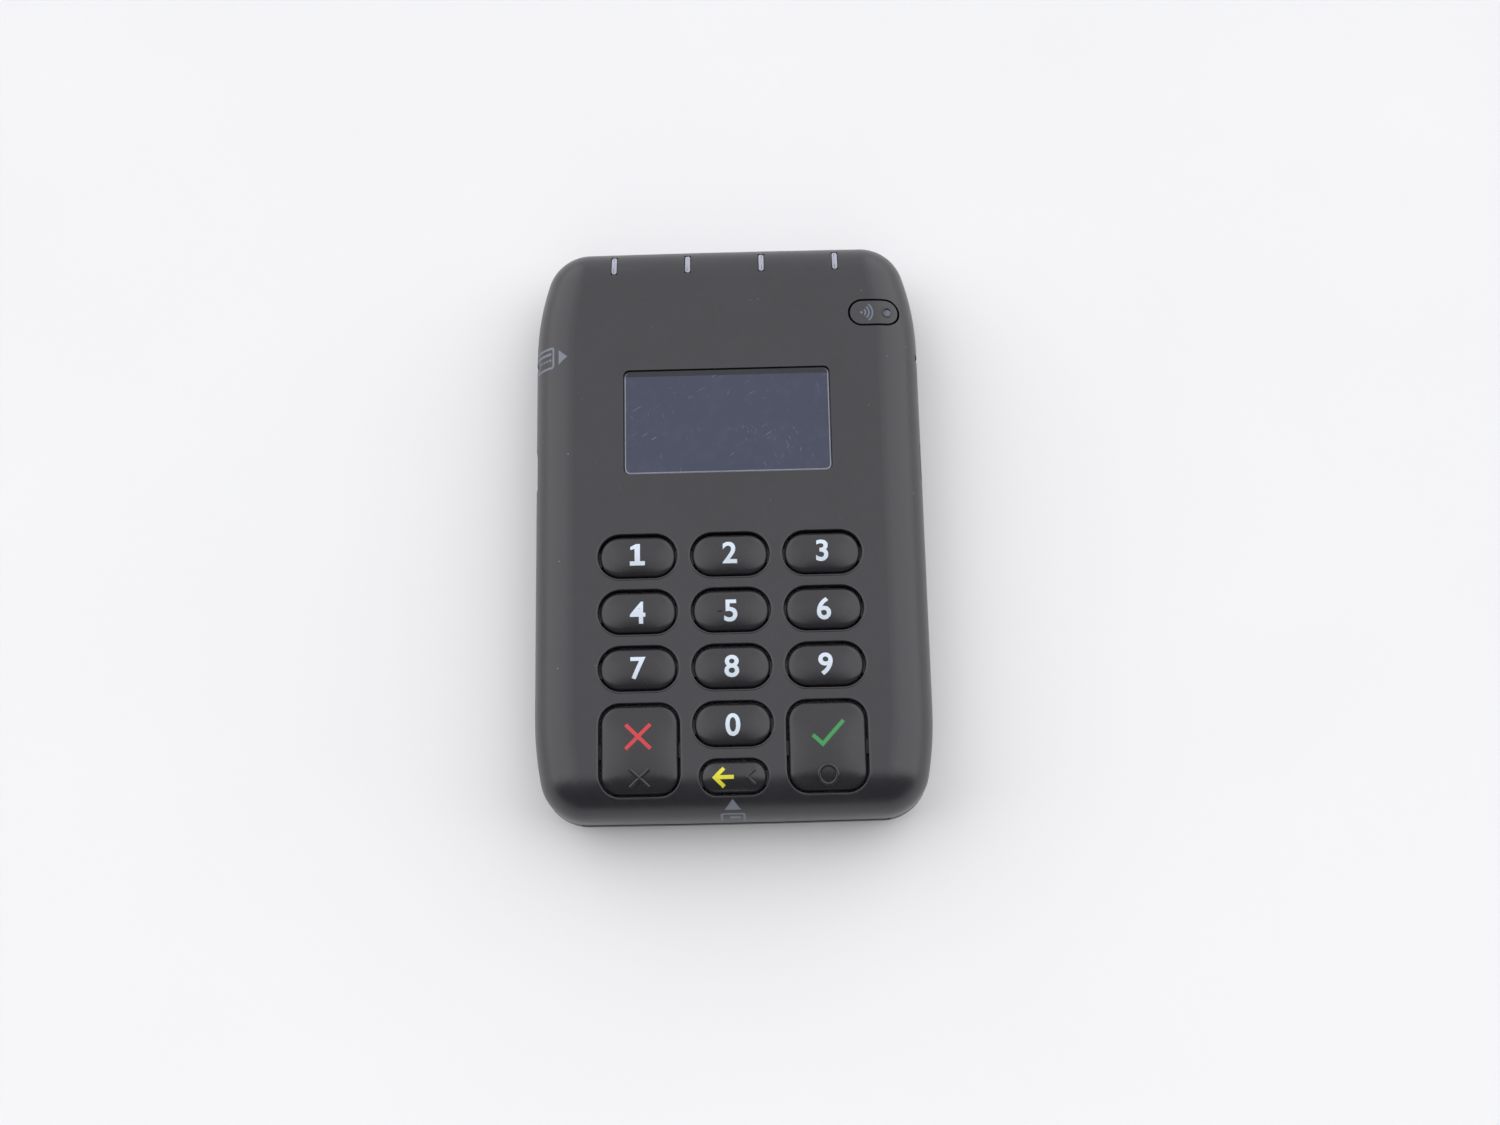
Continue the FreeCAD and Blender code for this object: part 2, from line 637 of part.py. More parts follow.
def make_rear_cover():
    body = new_body("rear_cover")
    outline = sketch_in(body, "rear_outline", "foot_height")
    add_case_outline(outline, "0")
    raised = pad(body, outline, "parting_height - foot_height")
    fillet(body, raised, "foot_height", "base_round")
    lip = sketch_in(body, "rear_lip", "parting_height")
    add_case_outline(lip, "side_wall - lip_wall")
    pad(body, lip, "lip_height")
    hollow = make_core("rear_hollow", FLOOR, "(parting_height + lip_height)", "side_wall", FLOOR,
                       "inner_base_round")
    carve(body, hollow, "rear_cavity")

    channel = sketch_in(body, "channel_low", FLOOR)
    add_rectangle(channel, "0", SWIPE_Y, "body_width - 2 * side_wall + lip_wall",
                  "swipe_width + 2 * swipe_wall")
    pad(body, channel, f"parting_height - {FLOOR}")
    roof = sketch_in(body, "channel_high", "parting_height")
    add_rectangle(roof, "0", SWIPE_Y, "body_width - 2 * side_wall - 4", "swipe_width + 2 * swipe_wall")
    pad(body, roof, f"{SWIPE_ROOF} + swipe_roof - parting_height")
    slot = sketch_in(body, "swipe_slot", SWIPE_ROOF)
    add_rectangle(slot, "0", SWIPE_Y, "body_width + 2", "swipe_width")
    pocket(body, slot, "swipe_depth + 1")
    window = sketch_in(body, "head_window", f"{SWIPE_Y} + swipe_width / 2 + swipe_wall / 2", "XZ_Plane")
    window.setExpression("AttachmentOffset.Base.z", bound(f"-{SWIPE_Y} - swipe_width / 2 - swipe_wall - 0.1"))
    add_rectangle(window, "0", f"{FLOOR} + 0.2 + head_height / 2", "head_width + 0.6", "head_height + 0.4")
    pocket(body, window, "swipe_wall + 0.4", up=True)

    entry = sketch_in(body, "card_entry", "parting_height + lip_height")
    add_rectangle(entry, "0", f"side_wall / 2 - {FAR_END}", "card_slot_width", "side_wall + 2")
    pocket(body, entry, "lip_height + card_slot_height")

    bosses = sketch_in(body, "rear_bosses", "foot_height + 1.3")
    for x, y in CASE_SCREWS:
        add_circle(bosses, x, y, "boss_radius")
    pad(body, bosses, "parting_height + lip_height - foot_height - 1.3")
    holes = sketch_in(body, "screw_holes", "foot_height")
    for x, y in CASE_SCREWS:
        add_circle(holes, x, y, "screw_radius + 0.15")
    pocket(body, holes, "case_height", up=True)
    heads = sketch_in(body, "screw_recesses", "foot_height - 1")
    for x, y in CASE_SCREWS:
        add_circle(heads, x, y, "screw_head_radius + 0.2")
    pocket(body, heads, "1 + 1.3", up=True)

    posts = sketch_in(body, "board_posts", FLOOR)
    for x, y in MAIN_POSTS:
        add_circle(posts, x, y, "post_radius")
    pad(body, posts, f"main_level - {FLOOR}")
    threads = sketch_in(body, "post_threads", "main_level")
    for x, y in MAIN_POSTS:
        add_circle(threads, x, y, "board_screw_radius + 0.05")
    pocket(body, threads, "4")
    top_posts = sketch_in(body, "top_board_posts", FLOOR)
    for x, y in top_screw_places():
        add_circle(top_posts, x, y, "post_radius")
    pad(body, top_posts, f"keypad_level - {FLOOR}")
    top_threads = sketch_in(body, "top_post_threads", "keypad_level")
    for x, y in top_screw_places():
        add_circle(top_threads, x, y, "board_screw_radius + 0.05")
    pocket(body, top_threads, "4")
    rests = sketch_in(body, "spring_rests", FLOOR)
    for side in (-1, 1):
        add_rectangle(rests, f"{side} * (head_width / 2 + 6)", f"{spring_back()} + 0.8", "2", "1.6")
    pad(body, rests, "head_height")

    feet = sketch_in(body, "foot_recesses", "foot_height")
    for x, y in foot_places():
        add_circle(feet, x, y, "foot_radius + fit_gap")
    pocket(body, feet, "foot_sink", up=True)
    label = sketch_in(body, "label_recess", "foot_height")
    add_rectangle(label, "0", "-6", "label_width + 2 * fit_gap", "label_depth + 2 * fit_gap")
    pocket(body, label, "label_thickness", up=True)
    return body


def keypad_screw_places():
    """Screws that hold the keypad board up under the face, beside the mat."""
    side_x = "(column_pitch + key_width / 2 + tab_width + 2.4)"
    rows = (row_y(0.25), row_y(2.2))
    return [(f"{side} * {side_x}", y) for side in (-1, 1) for y in rows]


def top_screw_places():
    return [(f"{side} * (1.45 * guide_pitch)", f"({FAR_END} - 11)") for side in (-1, 1)]


def spring_back():
    """Rear face of the head's leaf spring."""
    return f"({SWIPE_Y} + swipe_width / 2 - head_proud + head_depth + spring_thickness)"


def foot_places():
    return [(f"{sx} * (body_width / 2 - foot_inset_x)", f"{sy} * (body_length / 2 - foot_inset_y)")
            for sx in (-1, 1) for sy in (-1, 1)]


# ---------------------------------------------------------------- keypad


def make_key(key):
    """Cap with a rounded crown, two retaining tabs under the face and a short stem."""
    body = new_body(key.node)
    bind(body, at_x=key.x, at_y=key.y)
    outline = sketch_in(body, key.node + "_outline", TAB_BOTTOM)
    key.draw(outline, True, "0")
    cap = pad(body, outline, f"case_height + key_rise - {TAB_BOTTOM}")
    fillet(body, cap, "case_height + key_rise", "key_crown")
    tabs = sketch_in(body, key.node + "_tabs", TAB_BOTTOM)
    add_rectangle(tabs, "0", "0", f"{key.width} + 2 * (key_gap + tab_width)", "tab_length")
    pad(body, tabs, "tab_height")
    stem = sketch_in(body, key.node + "_stem", TAB_BOTTOM)
    add_circle(stem, "0", "0", "dome_radius - 0.6")
    pad(body, stem, "stem_height", down=True)
    return body


def make_keypad_mat():
    """Rubber sheet with a raised spot under each stem and a hollow over each dome."""
    body = new_body("keypad_mat")
    low, high = "(clear_edge - clear_depth / 2 - 0.2)", "(row_one_edge + key_depth / 2 - 0.2)"
    middle, depth = from_low_end(f"({low} + {high}) / 2"), f"{high} - {low}"
    outline = sketch_in(body, "mat_outline", KEYPAD_TOP)
    add_rounded(outline, "0", middle, "2 * column_pitch + key_width + 2", depth, "4")
    pad(body, outline, "mat_thickness")
    spots = sketch_in(body, "mat_spots", f"{KEYPAD_TOP} + mat_thickness")
    for key in KEYS:
        add_circle(spots, key.x, key.y, "dome_radius")
    pad(body, spots, f"{TAB_BOTTOM} - stem_height - {KEYPAD_TOP} - mat_thickness")
    hollows = sketch_in(body, "mat_hollows", KEYPAD_TOP)
    for key in KEYS:
        add_circle(hollows, key.x, key.y, "dome_radius + 0.3")
    pocket(body, hollows, "dome_height", up=True)
    return body


def make_key_domes():
    domes = [post(f"dome_{key.node}", key.x, key.y, KEYPAD_TOP, "dome_radius", "dome_height") for key in KEYS]
    return keep(group("domes", domes), "key_domes")


def make_keypad_board():
    body = new_body("keypad_board")
    outline = sketch_in(body, "keypad_board_outline", "keypad_level")
    low, high = "4.4", "row_one_edge + key_depth / 2 + 6.2"
    add_rounded(outline, "0", from_low_end(f"({low} + {high}) / 2"), f"2 * {BOARD_HALF}",
                f"{high} - {low}", "board_corner")
    pad(body, outline, "board_thickness")
    holes = sketch_in(body, "keypad_board_holes", KEYPAD_TOP)
    for x, y in keypad_screw_places():
        add_circle(holes, x, y, "board_screw_radius + 0.2")
    pocket(body, holes, "board_thickness")
    return body


# ---------------------------------------------------------------- display


def make_display():
    lens = new_body("display_lens")
    outline = sketch_in(lens, "lens_outline", "case_height - lens_recess - lens_thickness")
    add_rounded(outline, "0", LENS_Y, "lens_width", "lens_depth", "lens_corner")
    pad(lens, outline, "lens_thickness")

    gasket = new_body("lens_gasket")
    ring = sketch_in(gasket, "gasket_ring", LENS_SEAT)
    add_rounded(ring, "0", LENS_Y, "lens_width", "lens_depth", "lens_corner")
    add_rectangle(ring, "0", LENS_Y, "lens_width - 2 * gasket_width", "lens_depth - 2 * gasket_width")
    pad(gasket, ring, "gasket_thickness")

    glass = block("glass", "0", LENS_Y, f"{CEILING} - glass_thickness", "glass_width", "glass_depth",
                  "glass_thickness")
    keep(glass, "display_module")

    tray = new_body("display_frame")
    tray_outline = sketch_in(tray, "tray_outline", CEILING)
    add_rectangle(tray_outline, "0", LENS_Y, "glass_width + 2 * frame_wall", "glass_depth + 2 * frame_wall")
    pad(tray, tray_outline, "glass_thickness + frame_floor", down=True)
    tray_hollow = sketch_in(tray, "tray_hollow", CEILING)
    add_rectangle(tray_hollow, "0", LENS_Y, "glass_width", "glass_depth")
    pocket(tray, tray_hollow, "glass_thickness")

    tray_bottom = f"({CEILING} - glass_thickness - frame_floor)"
    front = f"({LENS_Y} - glass_depth / 2 - frame_wall - 0.7)"
    rise = block("flex_rise", "0", front, MAIN_TOP, "14", "0.15", f"{tray_bottom} - {MAIN_TOP}")
    turn = block("flex_turn", "0", f"{front} + 2.5", f"{tray_bottom} - 0.15", "14", "5.15", "0.15")
    keep(fuse("display_flex_strip", rise, turn), "display_flex")


# ---------------------------------------------------------------- radio button, power button, lights


def make_radio_button(form):
    body = new_body("radio_form", keep_it=False)
    bottom = f"({KEYPAD_TOP} + 0.7 + radio_travel)"
    outline = sketch_in(body, "radio_outline", bottom)
    add_stadium(outline, "radio_offset", RADIO_Y, "radio_width", "radio_depth")
    pad(body, outline, f"case_height + 1 - {bottom}")
    ears = sketch_in(body, "radio_ears", f"{TAB_BOTTOM} - 0.4")
    add_rectangle(ears, "radio_offset - 1.9", RADIO_Y, "3.6", "radio_depth + 2 * radio_gap + 2 * tab_width")
    pad(body, ears, "tab_height")
    bore = sketch_in(body, "radio_bore", "case_height + 1")
    add_circle(bore, "radio_offset + window_offset", RADIO_Y, "window_radius")
    pocket(body, bore, "case_height")
    keep(common("radio_trim", body, form), "radio_button")
    window = post("window_pin", "radio_offset + window_offset", RADIO_Y, bottom,
                  "window_radius - 0.03", f"case_height - 0.6 - {bottom}")
    keep(window, "button_light_window")
    switch = block("radio_tact", "radio_offset - 1.6", RADIO_Y, KEYPAD_TOP, "3.6", "3", "0.7")
    keep(switch, "radio_switch")


def make_power_button(form):
    inner = "(body_width / 2 - side_wall - 1.3)"
    flange = block("power_flange_plate", f"{inner} + power_flange / 2", USB_Y, "power_level - power_height / 2 - 0.4",
                   "power_flange", "power_length + 1.6", "power_height + 0.8")
    stud = new_body("power_stud", keep_it=False)
    outline = sketch_in(stud, "power_outline", inner, "YZ_Plane")
    add_rounded(outline, USB_Y, "power_level", "power_length", "power_height", "0.7")
    pad(stud, outline, "2 * side_wall")
    trimmed = common("power_trim", stud, form)
    keep(fuse("power_cap", flange, trimmed), "power_button")
    switch = block("power_tact", f"{inner} - power_travel - 1.6", USB_Y, MAIN_TOP, "3.2", "6", "2.4")
    keep(switch, "power_switch")


def make_lights(form):
    """Four light guides that follow the rounding of the upper end, each in front of its own diode."""
    diodes = []
    for number, x in enumerate(GUIDE_PLACES, start=1):
        bar = block(f"guide_bar_{number}", x, GUIDE_Y, "guide_bottom", "guide_width", "guide_length",
                    "case_height - guide_bottom")
        keep(common(f"guide_trim_{number}", bar, form), f"light_guide_{number}")
        diodes.append(block(f"diode_{number}", x, f"{FAR_END} - guide_reach - 1.7", KEYPAD_TOP,
                            "1.6", "1.2", "0.8"))
    keep(group("diodes", diodes), "indicator_leds")


# ---------------------------------------------------------------- card readers


def make_chip_reader():
    """Card cage under the main board, open towards the lower end, with eight spring contacts."""
    body = new_body("chip_card_connector")
    bottom = f"({CHIP_BOTTOM} - 1.5)"
    mouth = "(side_wall - body_length / 2 + 0.4)"
    outline = sketch_in(body, "cage_outline", bottom)
    add_rectangle(outline, "0", f"{mouth} + (chip_reach - side_wall + 1) / 2", f"2 * {BOARD_HALF} - 0.2",
                  "chip_reach - side_wall + 1")
    pad(body, outline, f"main_level - {bottom}")
    slot = sketch_in(body, "cage_slot", "parting_height")
    add_rectangle(slot, "0", f"{mouth} + (chip_reach - side_wall) / 2 - 1", "card_slot_width",
                  "chip_reach - side_wall + 2")
    pocket(body, slot, "card_slot_height")
    corners = sketch_in(body, "cage_corners", "main_level")
    for side in (-1, 1):
        add_rectangle(corners, f"{side} * {BOARD_HALF}", f"{mouth} - 0.5", "4.4", "9")
    pocket(body, corners, f"main_level - {bottom}")

    leaves = [
        block(f"leaf_{column}_{row}", f"3 + {row - 1.5} * 2.54", f"{mouth} + 19 + {column} * 7.62",
              "parting_height - 0.2", "1.2", "3", "0.2")
        for column in (0, 1)
        for row in range(4)
    ]
    keep(group("leaves", leaves), "chip_card_contacts")


def make_magnetic_head():
    """Stripe reading head in the wall of the swipe slot, on a leaf spring."""
    front = f"({SWIPE_Y} + swipe_width / 2 - head_proud)"
    bottom = f"({FLOOR} + 0.2)"
    body = new_body("magnetic_head")
    outline = sketch_in(body, "head_outline", bottom)
    add_rounded(outline, "0", f"{front} + head_depth / 2", "head_width", "head_depth", "0.9")
    pad(body, outline, "head_height")
    leaf = block("spring_leaf", "0", f"{spring_back()} - spring_thickness / 2", f"{bottom} + 1.2",
                 "head_width + 14", "spring_thickness", "2.6")
    keep(leaf, "head_spring")


# ---------------------------------------------------------------- boards, battery and small parts


def make_main_board():
    body = new_body("main_board")
    low, high = f"(4 - {FAR_END})", f"({SWIPE_Y} - swipe_width / 2 - swipe_wall - 0.3)"
    outline = sketch_in(body, "main_outline", "main_level")
    add_rounded(outline, "0", f"({low} + {high}) / 2", f"2 * {BOARD_HALF}", f"{high} - {low}", "board_corner")
    pad(body, outline, "board_thickness")
    wings = sketch_in(body, "main_wings", "main_level")
    add_rectangle(wings, "0", USB_Y, "body_width - 2 * side_wall - 3.8", "usb_width + 3")
    pad(body, wings, "board_thickness")
    holes = sketch_in(body, "main_holes", MAIN_TOP)
    for x, y in MAIN_POSTS:
        add_circle(holes, x, y, "board_screw_radius + 0.2")
    pocket(body, holes, "board_thickness")
    return body


def make_top_board():
    body = new_body("top_board")
    low, high = f"({SWIPE_Y} + swipe_width / 2 + swipe_wall + 0.5)", f"({FAR_END} - guide_reach - 0.9)"
    outline = sketch_in(body, "top_outline", "keypad_level")
    add_rounded(outline, "0", f"({low} + {high}) / 2", f"2 * {BOARD_HALF} + 3", f"{high} - {low}",
                "board_corner")
    pad(body, outline, "board_thickness")
    holes = sketch_in(body, "top_holes", KEYPAD_TOP)
    for x, y in top_screw_places():
        add_circle(holes, x, y, "board_screw_radius + 0.2")
    pocket(body, holes, "board_thickness")
    return body


def make_board_parts():
    flex_y = f"({SWIPE_Y} - swipe_width / 2 - swipe_wall - 0.4)"
    far_y = f"({SWIPE_Y} + swipe_width / 2 + swipe_wall + 1.2)"
    roof = f"({SWIPE_ROOF} + swipe_roof)"
    rise = block("link_rise", "0", flex_y, MAIN_TOP, "10", "0.15", f"{roof} - {MAIN_TOP} + 0.15")
    over = block("link_over", "0", f"({flex_y} + {far_y}) / 2", roof, "10", f"{far_y} - {flex_y} + 0.15", "0.15")
    fall = block("link_fall", "0", far_y, KEYPAD_TOP, "10", "0.15", f"{roof} - {KEYPAD_TOP} + 0.15")
    keep(fuse("link_strip", rise, over, fall), "board_flex")

    keep(block("mezzanine", "0", row_y(-0.55), MAIN_TOP, "16", "3.6", f"keypad_level - {MAIN_TOP}"),
         "board_connector")
    keep(block("can", "-12", f"({LENS_Y} - 2)", MAIN_TOP, "19", "13", "1.9"), "shield_can")
    keep(block("module", "12", f"({LENS_Y} - 2)", MAIN_TOP, "13", "10", "1.7"), "radio_module")
    keep(post("sounder", "-14", row_y(2), MAIN_TOP, "5.2", "1.9"), "buzzer")
    keep(post("coin", "14", row_y(2), MAIN_TOP, "5", "2"), "backup_cell")

    battery_y = f"({SWIPE_Y} - swipe_width / 2 - swipe_wall - 1.2 - battery_length / 2)"
    keep(block("cell", "0", battery_y, FLOOR, "battery_width", "battery_length", "battery_thickness"), "battery")
    keep(block("spring_pins", "12", f"{battery_y} - battery_length / 2 + 2", f"{FLOOR} + battery_thickness",
               "8", "2.4", f"main_level - {FLOOR} - battery_thickness"), "battery_connector")

    shell_x = "(usb_length / 2 + 0.9 - body_width / 2)"
    shell = block("usb_block", shell_x, USB_Y, MAIN_TOP, "usb_length", "usb_width", "usb_height")
    mouth = block("usb_mouth", f"{shell_x} - 0.6", USB_Y, f"{MAIN_TOP} + 0.35", "usb_length",
                  "usb_width - 0.7", "usb_height - 0.7")
    tongue = block("usb_tongue", f"{shell_x} + 0.5", USB_Y, f"{MAIN_TOP} + 0.9", "usb_length - 1",
                   "usb_width - 2.6", "0.6")
    keep(fuse("usb_shell", cut("usb_hollow", shell, mouth), tongue), "usb_connector")

    feet = [post(f"foot_{i}", x, y, "0", "foot_radius", "foot_height + foot_sink")
            for i, (x, y) in enumerate(foot_places())]
    keep(group("feet", feet), "rubber_feet")
    keep(block("label_sheet", "0", "-6", "foot_height", "label_width", "label_depth", "label_thickness"),
         "rating_label")


def make_screw(name, x, y, seat, shank, length, head, height, heads_up):
    """Pan-headed screw whose head bears on a level, above it or below it."""
    head_bottom = seat if heads_up else f"{seat} - {height}"
    shank_bottom = f"{seat} - {length}" if heads_up else seat
    return fuse(name, post(name + "_head", x, y, head_bottom, head, height),
                post(name + "_shank", x, y, shank_bottom, shank, length))


def make_screws():
    case = [make_screw(f"case_{i}", x, y, "(foot_height + 1.3)", "screw_radius", "screw_length",
                       "screw_head_radius", "screw_head_height", False)
            for i, (x, y) in enumerate(CASE_SCREWS)]
    keep(group("case_set", case), "case_screws")
    small = ("board_screw_radius", "3.4", "board_screw_head", "0.7")
    boards = [make_screw(f"main_{i}", x, y, MAIN_TOP, *small, True) for i, (x, y) in enumerate(MAIN_POSTS)]
    boards += [make_screw(f"top_{i}", x, y, KEYPAD_TOP, *small, True)
               for i, (x, y) in enumerate(top_screw_places())]
    boards += [make_screw(f"pad_{i}", x, y, "keypad_level", *small, False)
               for i, (x, y) in enumerate(keypad_screw_places())]
    keep(group("board_set", boards), "board_screws")


# ---------------------------------------------------------------- assembly


def main():
    form = make_casing_form()
    make_front_cover()
    make_rear_cover()
    for key in KEYS:
        make_key(key)
    make_keypad_mat()
    make_key_domes()
    make_keypad_board()
    make_display()
    make_radio_button(form)
    make_power_button(form)
    make_lights(form)
    make_chip_reader()
    make_magnetic_head()
    make_main_board()
    make_top_board()
    make_board_parts()
    make_screws()
    doc.recompute()
    write_pieces()


def write_pieces():
    """Check every object, then write each piece to its own STEP file."""
    for item in doc.Objects:
        if "Invalid" in item.State or "Error" in item.State:
            raise RuntimeError(f"{item.Label} failed: {item.State}")
    os.makedirs("parts", exist_ok=True)
    for node, item in pieces.items():
        shape = item.Shape
        if shape.isNull() or not shape.isValid() or not shape.Solids:
            raise RuntimeError(f"{node} has no sound shape")
        shape.exportStep(os.path.join("parts", node + ".step"))
    print(f"{len(pieces)} pieces written")


main()
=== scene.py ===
"""Looks of a pocket card payment terminal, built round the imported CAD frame.

Lengths in the dataclass fields are millimetres, in the CAD model's own frame: +X to the right of the
face, +Y towards the indicator lights, +Z out of the face. Meshes are made in metres.
"""

from __future__ import annotations

import logging
import math
from dataclasses import dataclass, field
from enum import Enum
from typing import Callable, Iterable, Optional, Protocol, Sequence, Union

import bmesh
import bpy
from mathutils import Matrix, Vector

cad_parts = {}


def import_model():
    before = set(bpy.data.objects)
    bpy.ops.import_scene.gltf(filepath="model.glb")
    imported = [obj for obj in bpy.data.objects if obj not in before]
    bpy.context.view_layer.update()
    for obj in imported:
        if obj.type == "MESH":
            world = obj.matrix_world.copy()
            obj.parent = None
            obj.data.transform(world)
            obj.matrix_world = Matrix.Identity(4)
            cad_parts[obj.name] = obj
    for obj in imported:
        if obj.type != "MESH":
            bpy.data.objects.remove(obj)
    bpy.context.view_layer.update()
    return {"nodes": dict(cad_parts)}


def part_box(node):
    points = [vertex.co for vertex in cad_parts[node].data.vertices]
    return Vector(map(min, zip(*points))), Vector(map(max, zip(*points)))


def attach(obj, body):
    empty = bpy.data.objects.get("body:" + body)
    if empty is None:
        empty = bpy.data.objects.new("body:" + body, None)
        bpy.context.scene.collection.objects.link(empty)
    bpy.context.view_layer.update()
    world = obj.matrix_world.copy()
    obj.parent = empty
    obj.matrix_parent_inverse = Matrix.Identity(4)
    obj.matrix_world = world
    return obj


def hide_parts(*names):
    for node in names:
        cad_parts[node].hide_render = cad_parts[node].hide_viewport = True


LOG = logging.getLogger("terminal")
MM = 0.001
Point = tuple[float, float]
Colour = tuple[float, float, float]
Value = Union["Wire", float, Colour, Sequence[float]]
Surface = Callable[[float, float, float], Vector]


# ------------------------------------------------------------------ shader graph


class Wire:
    """One output socket of a shader, with arithmetic that adds Math nodes."""

    def __init__(self, graph: Graph, socket: bpy.types.NodeSocket) -> None:
        """Wrap a socket of a graph."""
        self.graph = graph
        self.socket = socket

    def math(self, operation: str, *others: Value, clamp: bool = False) -> Wire:
        """Result of a Math node with this value first."""
        return self.graph.maths(operation, self, *others, clamp=clamp)

    def __add__(self, other: Value) -> Wire:
        """Sum."""
        return self.math("ADD", other)

    __radd__ = __add__

    def __mul__(self, other: Value) -> Wire:
        """Product."""
        return self.math("MULTIPLY", other)

    __rmul__ = __mul__

    def __sub__(self, other: Value) -> Wire:
        """Difference."""
        return self.math("SUBTRACT", other)

    def __rsub__(self, other: Value) -> Wire:
        """Difference the other way round."""
        return self.graph.maths("SUBTRACT", other, self)

    def held(self) -> Wire:
        """This value held between 0 and 1."""
        return self.math("MULTIPLY", 1.0, clamp=True)

    def above(self, level: float, blend: float) -> Wire:
        """Soft step: 0 below a level, 1 from blend above it.

        Args:
            level: where the step starts.
            blend: how far it takes to reach 1.

        Returns:
            The step, clamped between 0 and 1.
        """
        return ((self - level) * (1.0 / blend)).held()


class Graph:
    """Node tree of one material or world, filled through a few short methods."""

    def __init__(self, name: str, world: Optional[bpy.types.World] = None) -> None:
        """Start an empty tree.

        Args:
            name: the material's name.
            world: fill this world's tree, with no material.
        """
        self.material = world or bpy.data.materials.new(name)
        self.material.use_nodes = True
        self.tree = self.material.node_tree
        self.tree.nodes.clear()
        self._place: Optional[Wire] = None

    def node(self, kind: str, settings: Optional[dict] = None,
             values: Optional[dict] = None) -> bpy.types.Node:
        """Add a node.

        Args:
            kind: the node's type.
            settings: its own options.
            values: input name or number to a number, colour or Wire.

        Returns:
            The node.
        """
        made = self.tree.nodes.new(kind)
        for name, setting in (settings or {}).items():
            setattr(made, name, setting)
        for key, value in (values or {}).items():
            self.feed(made.inputs[key], value)
        return made

    def feed(self, socket: bpy.types.NodeSocket, value: Value) -> None:
        """Link a Wire to an input, or set the input to a number or colour."""
        if isinstance(value, Wire):
            self.tree.links.new(value.socket, socket)
        elif isinstance(value, (int, float)):
            socket.default_value = value
        elif len(value) == 3 and socket.type == "RGBA":
            socket.default_value = (*value, 1.0)
        else:
            socket.default_value = value

    def maths(self, operation: str, *values: Value, clamp: bool = False) -> Wire:
        """Math node of one operation on some values."""
        made = self.node("ShaderNodeMath", {"operation": operation, "use_clamp": clamp},
                         dict(enumerate(values)))
        return Wire(self, made.outputs[0])

    def place(self, stretch: Sequence[float] = (1, 1, 1), turn: float = 0.0) -> Wire:
        """Object position in millimetres, stretched and turned about Z.

        Args:
            stretch: factor on each axis.
            turn: angle about Z in degrees.

        Returns:
            The position as a vector.
        """
        if self._place is None:
            source = self.node("ShaderNodeTexCoord")
            self._place = Wire(self, source.outputs["Object"])
        mapping = self.node("ShaderNodeMapping", {"vector_type": "TEXTURE"}, {
            "Vector": self._place,
            "Rotation": (0.0, 0.0, math.radians(turn)),
            "Scale": tuple(MM / factor for factor in stretch),
        })
        return Wire(self, mapping.outputs[0])

    def noise(self, size: float, detail: float = 2.0, rough: float = 0.5,
              stretch: Sequence[float] = (1, 1, 1), turn: float = 0.0) -> Wire:
        """Noise with features of about a size in millimetres."""
        made = self.node("ShaderNodeTexNoise", {}, {
            "Vector": self.place(stretch, turn), "Scale": 1.0 / size, "Detail": detail, "Roughness": rough,
        })
        return Wire(self, made.outputs[0])

    def cells(self, size: float) -> Wire:
        """Distance in a Voronoi pattern with cells of about a size in millimetres."""
        made = self.node("ShaderNodeTexVoronoi", {}, {"Vector": self.place(), "Scale": 1.0 / size})
        return Wire(self, made.outputs["Distance"])

    def axis(self, name: str) -> Wire:
        """One coordinate of the object position, in millimetres."""
        made = self.node("ShaderNodeSeparateXYZ", {}, {0: self.place()})
        return Wire(self, made.outputs[name])

    def mix(self, factor: Value, first: Value, second: Value) -> Wire:
        """Colour between two, by a factor."""
        made = self.node("ShaderNodeMix", {"data_type": "RGBA", "clamp_factor": True},
                         {0: factor, 6: first, 7: second})
        return Wire(self, made.outputs[2])

    def bump(self, height: Value, depth: float) -> Wire:
        """Normal from a height between 0 and 1 that stands for a depth in millimetres."""
        values = {"Height": height, "Distance": depth * MM, "Strength": 1.0}
        return Wire(self, self.node("ShaderNodeBump", {}, values).outputs[0])

    def surface(self, values: dict) -> Wire:
        """Principled shader with its inputs by name."""
        return Wire(self, self.node("ShaderNodeBsdfPrincipled", {}, values).outputs[0])

    def finish(self, shader: Wire) -> bpy.types.Material:
        """Make a shader the material's surface and return the material."""
        self.node("ShaderNodeOutputMaterial", {}, {"Surface": shader})
        return self.material

    def coat(self, values: dict) -> bpy.types.Material:
        """Finish the material with a principled shader."""
        return self.finish(self.surface(values))


def grey(level: float) -> Colour:
    """Neutral colour of a level."""
    return (level, level, level)


def scaled(colour: Colour, factor: float) -> Colour:
    """Colour made lighter or darker by a factor."""
    return tuple(channel * factor for channel in colour)


# ------------------------------------------------------------------ finishes


class Finish(Protocol):
    """Anything that makes a material."""

    def build(self) -> bpy.types.Material:
        """Make the material."""


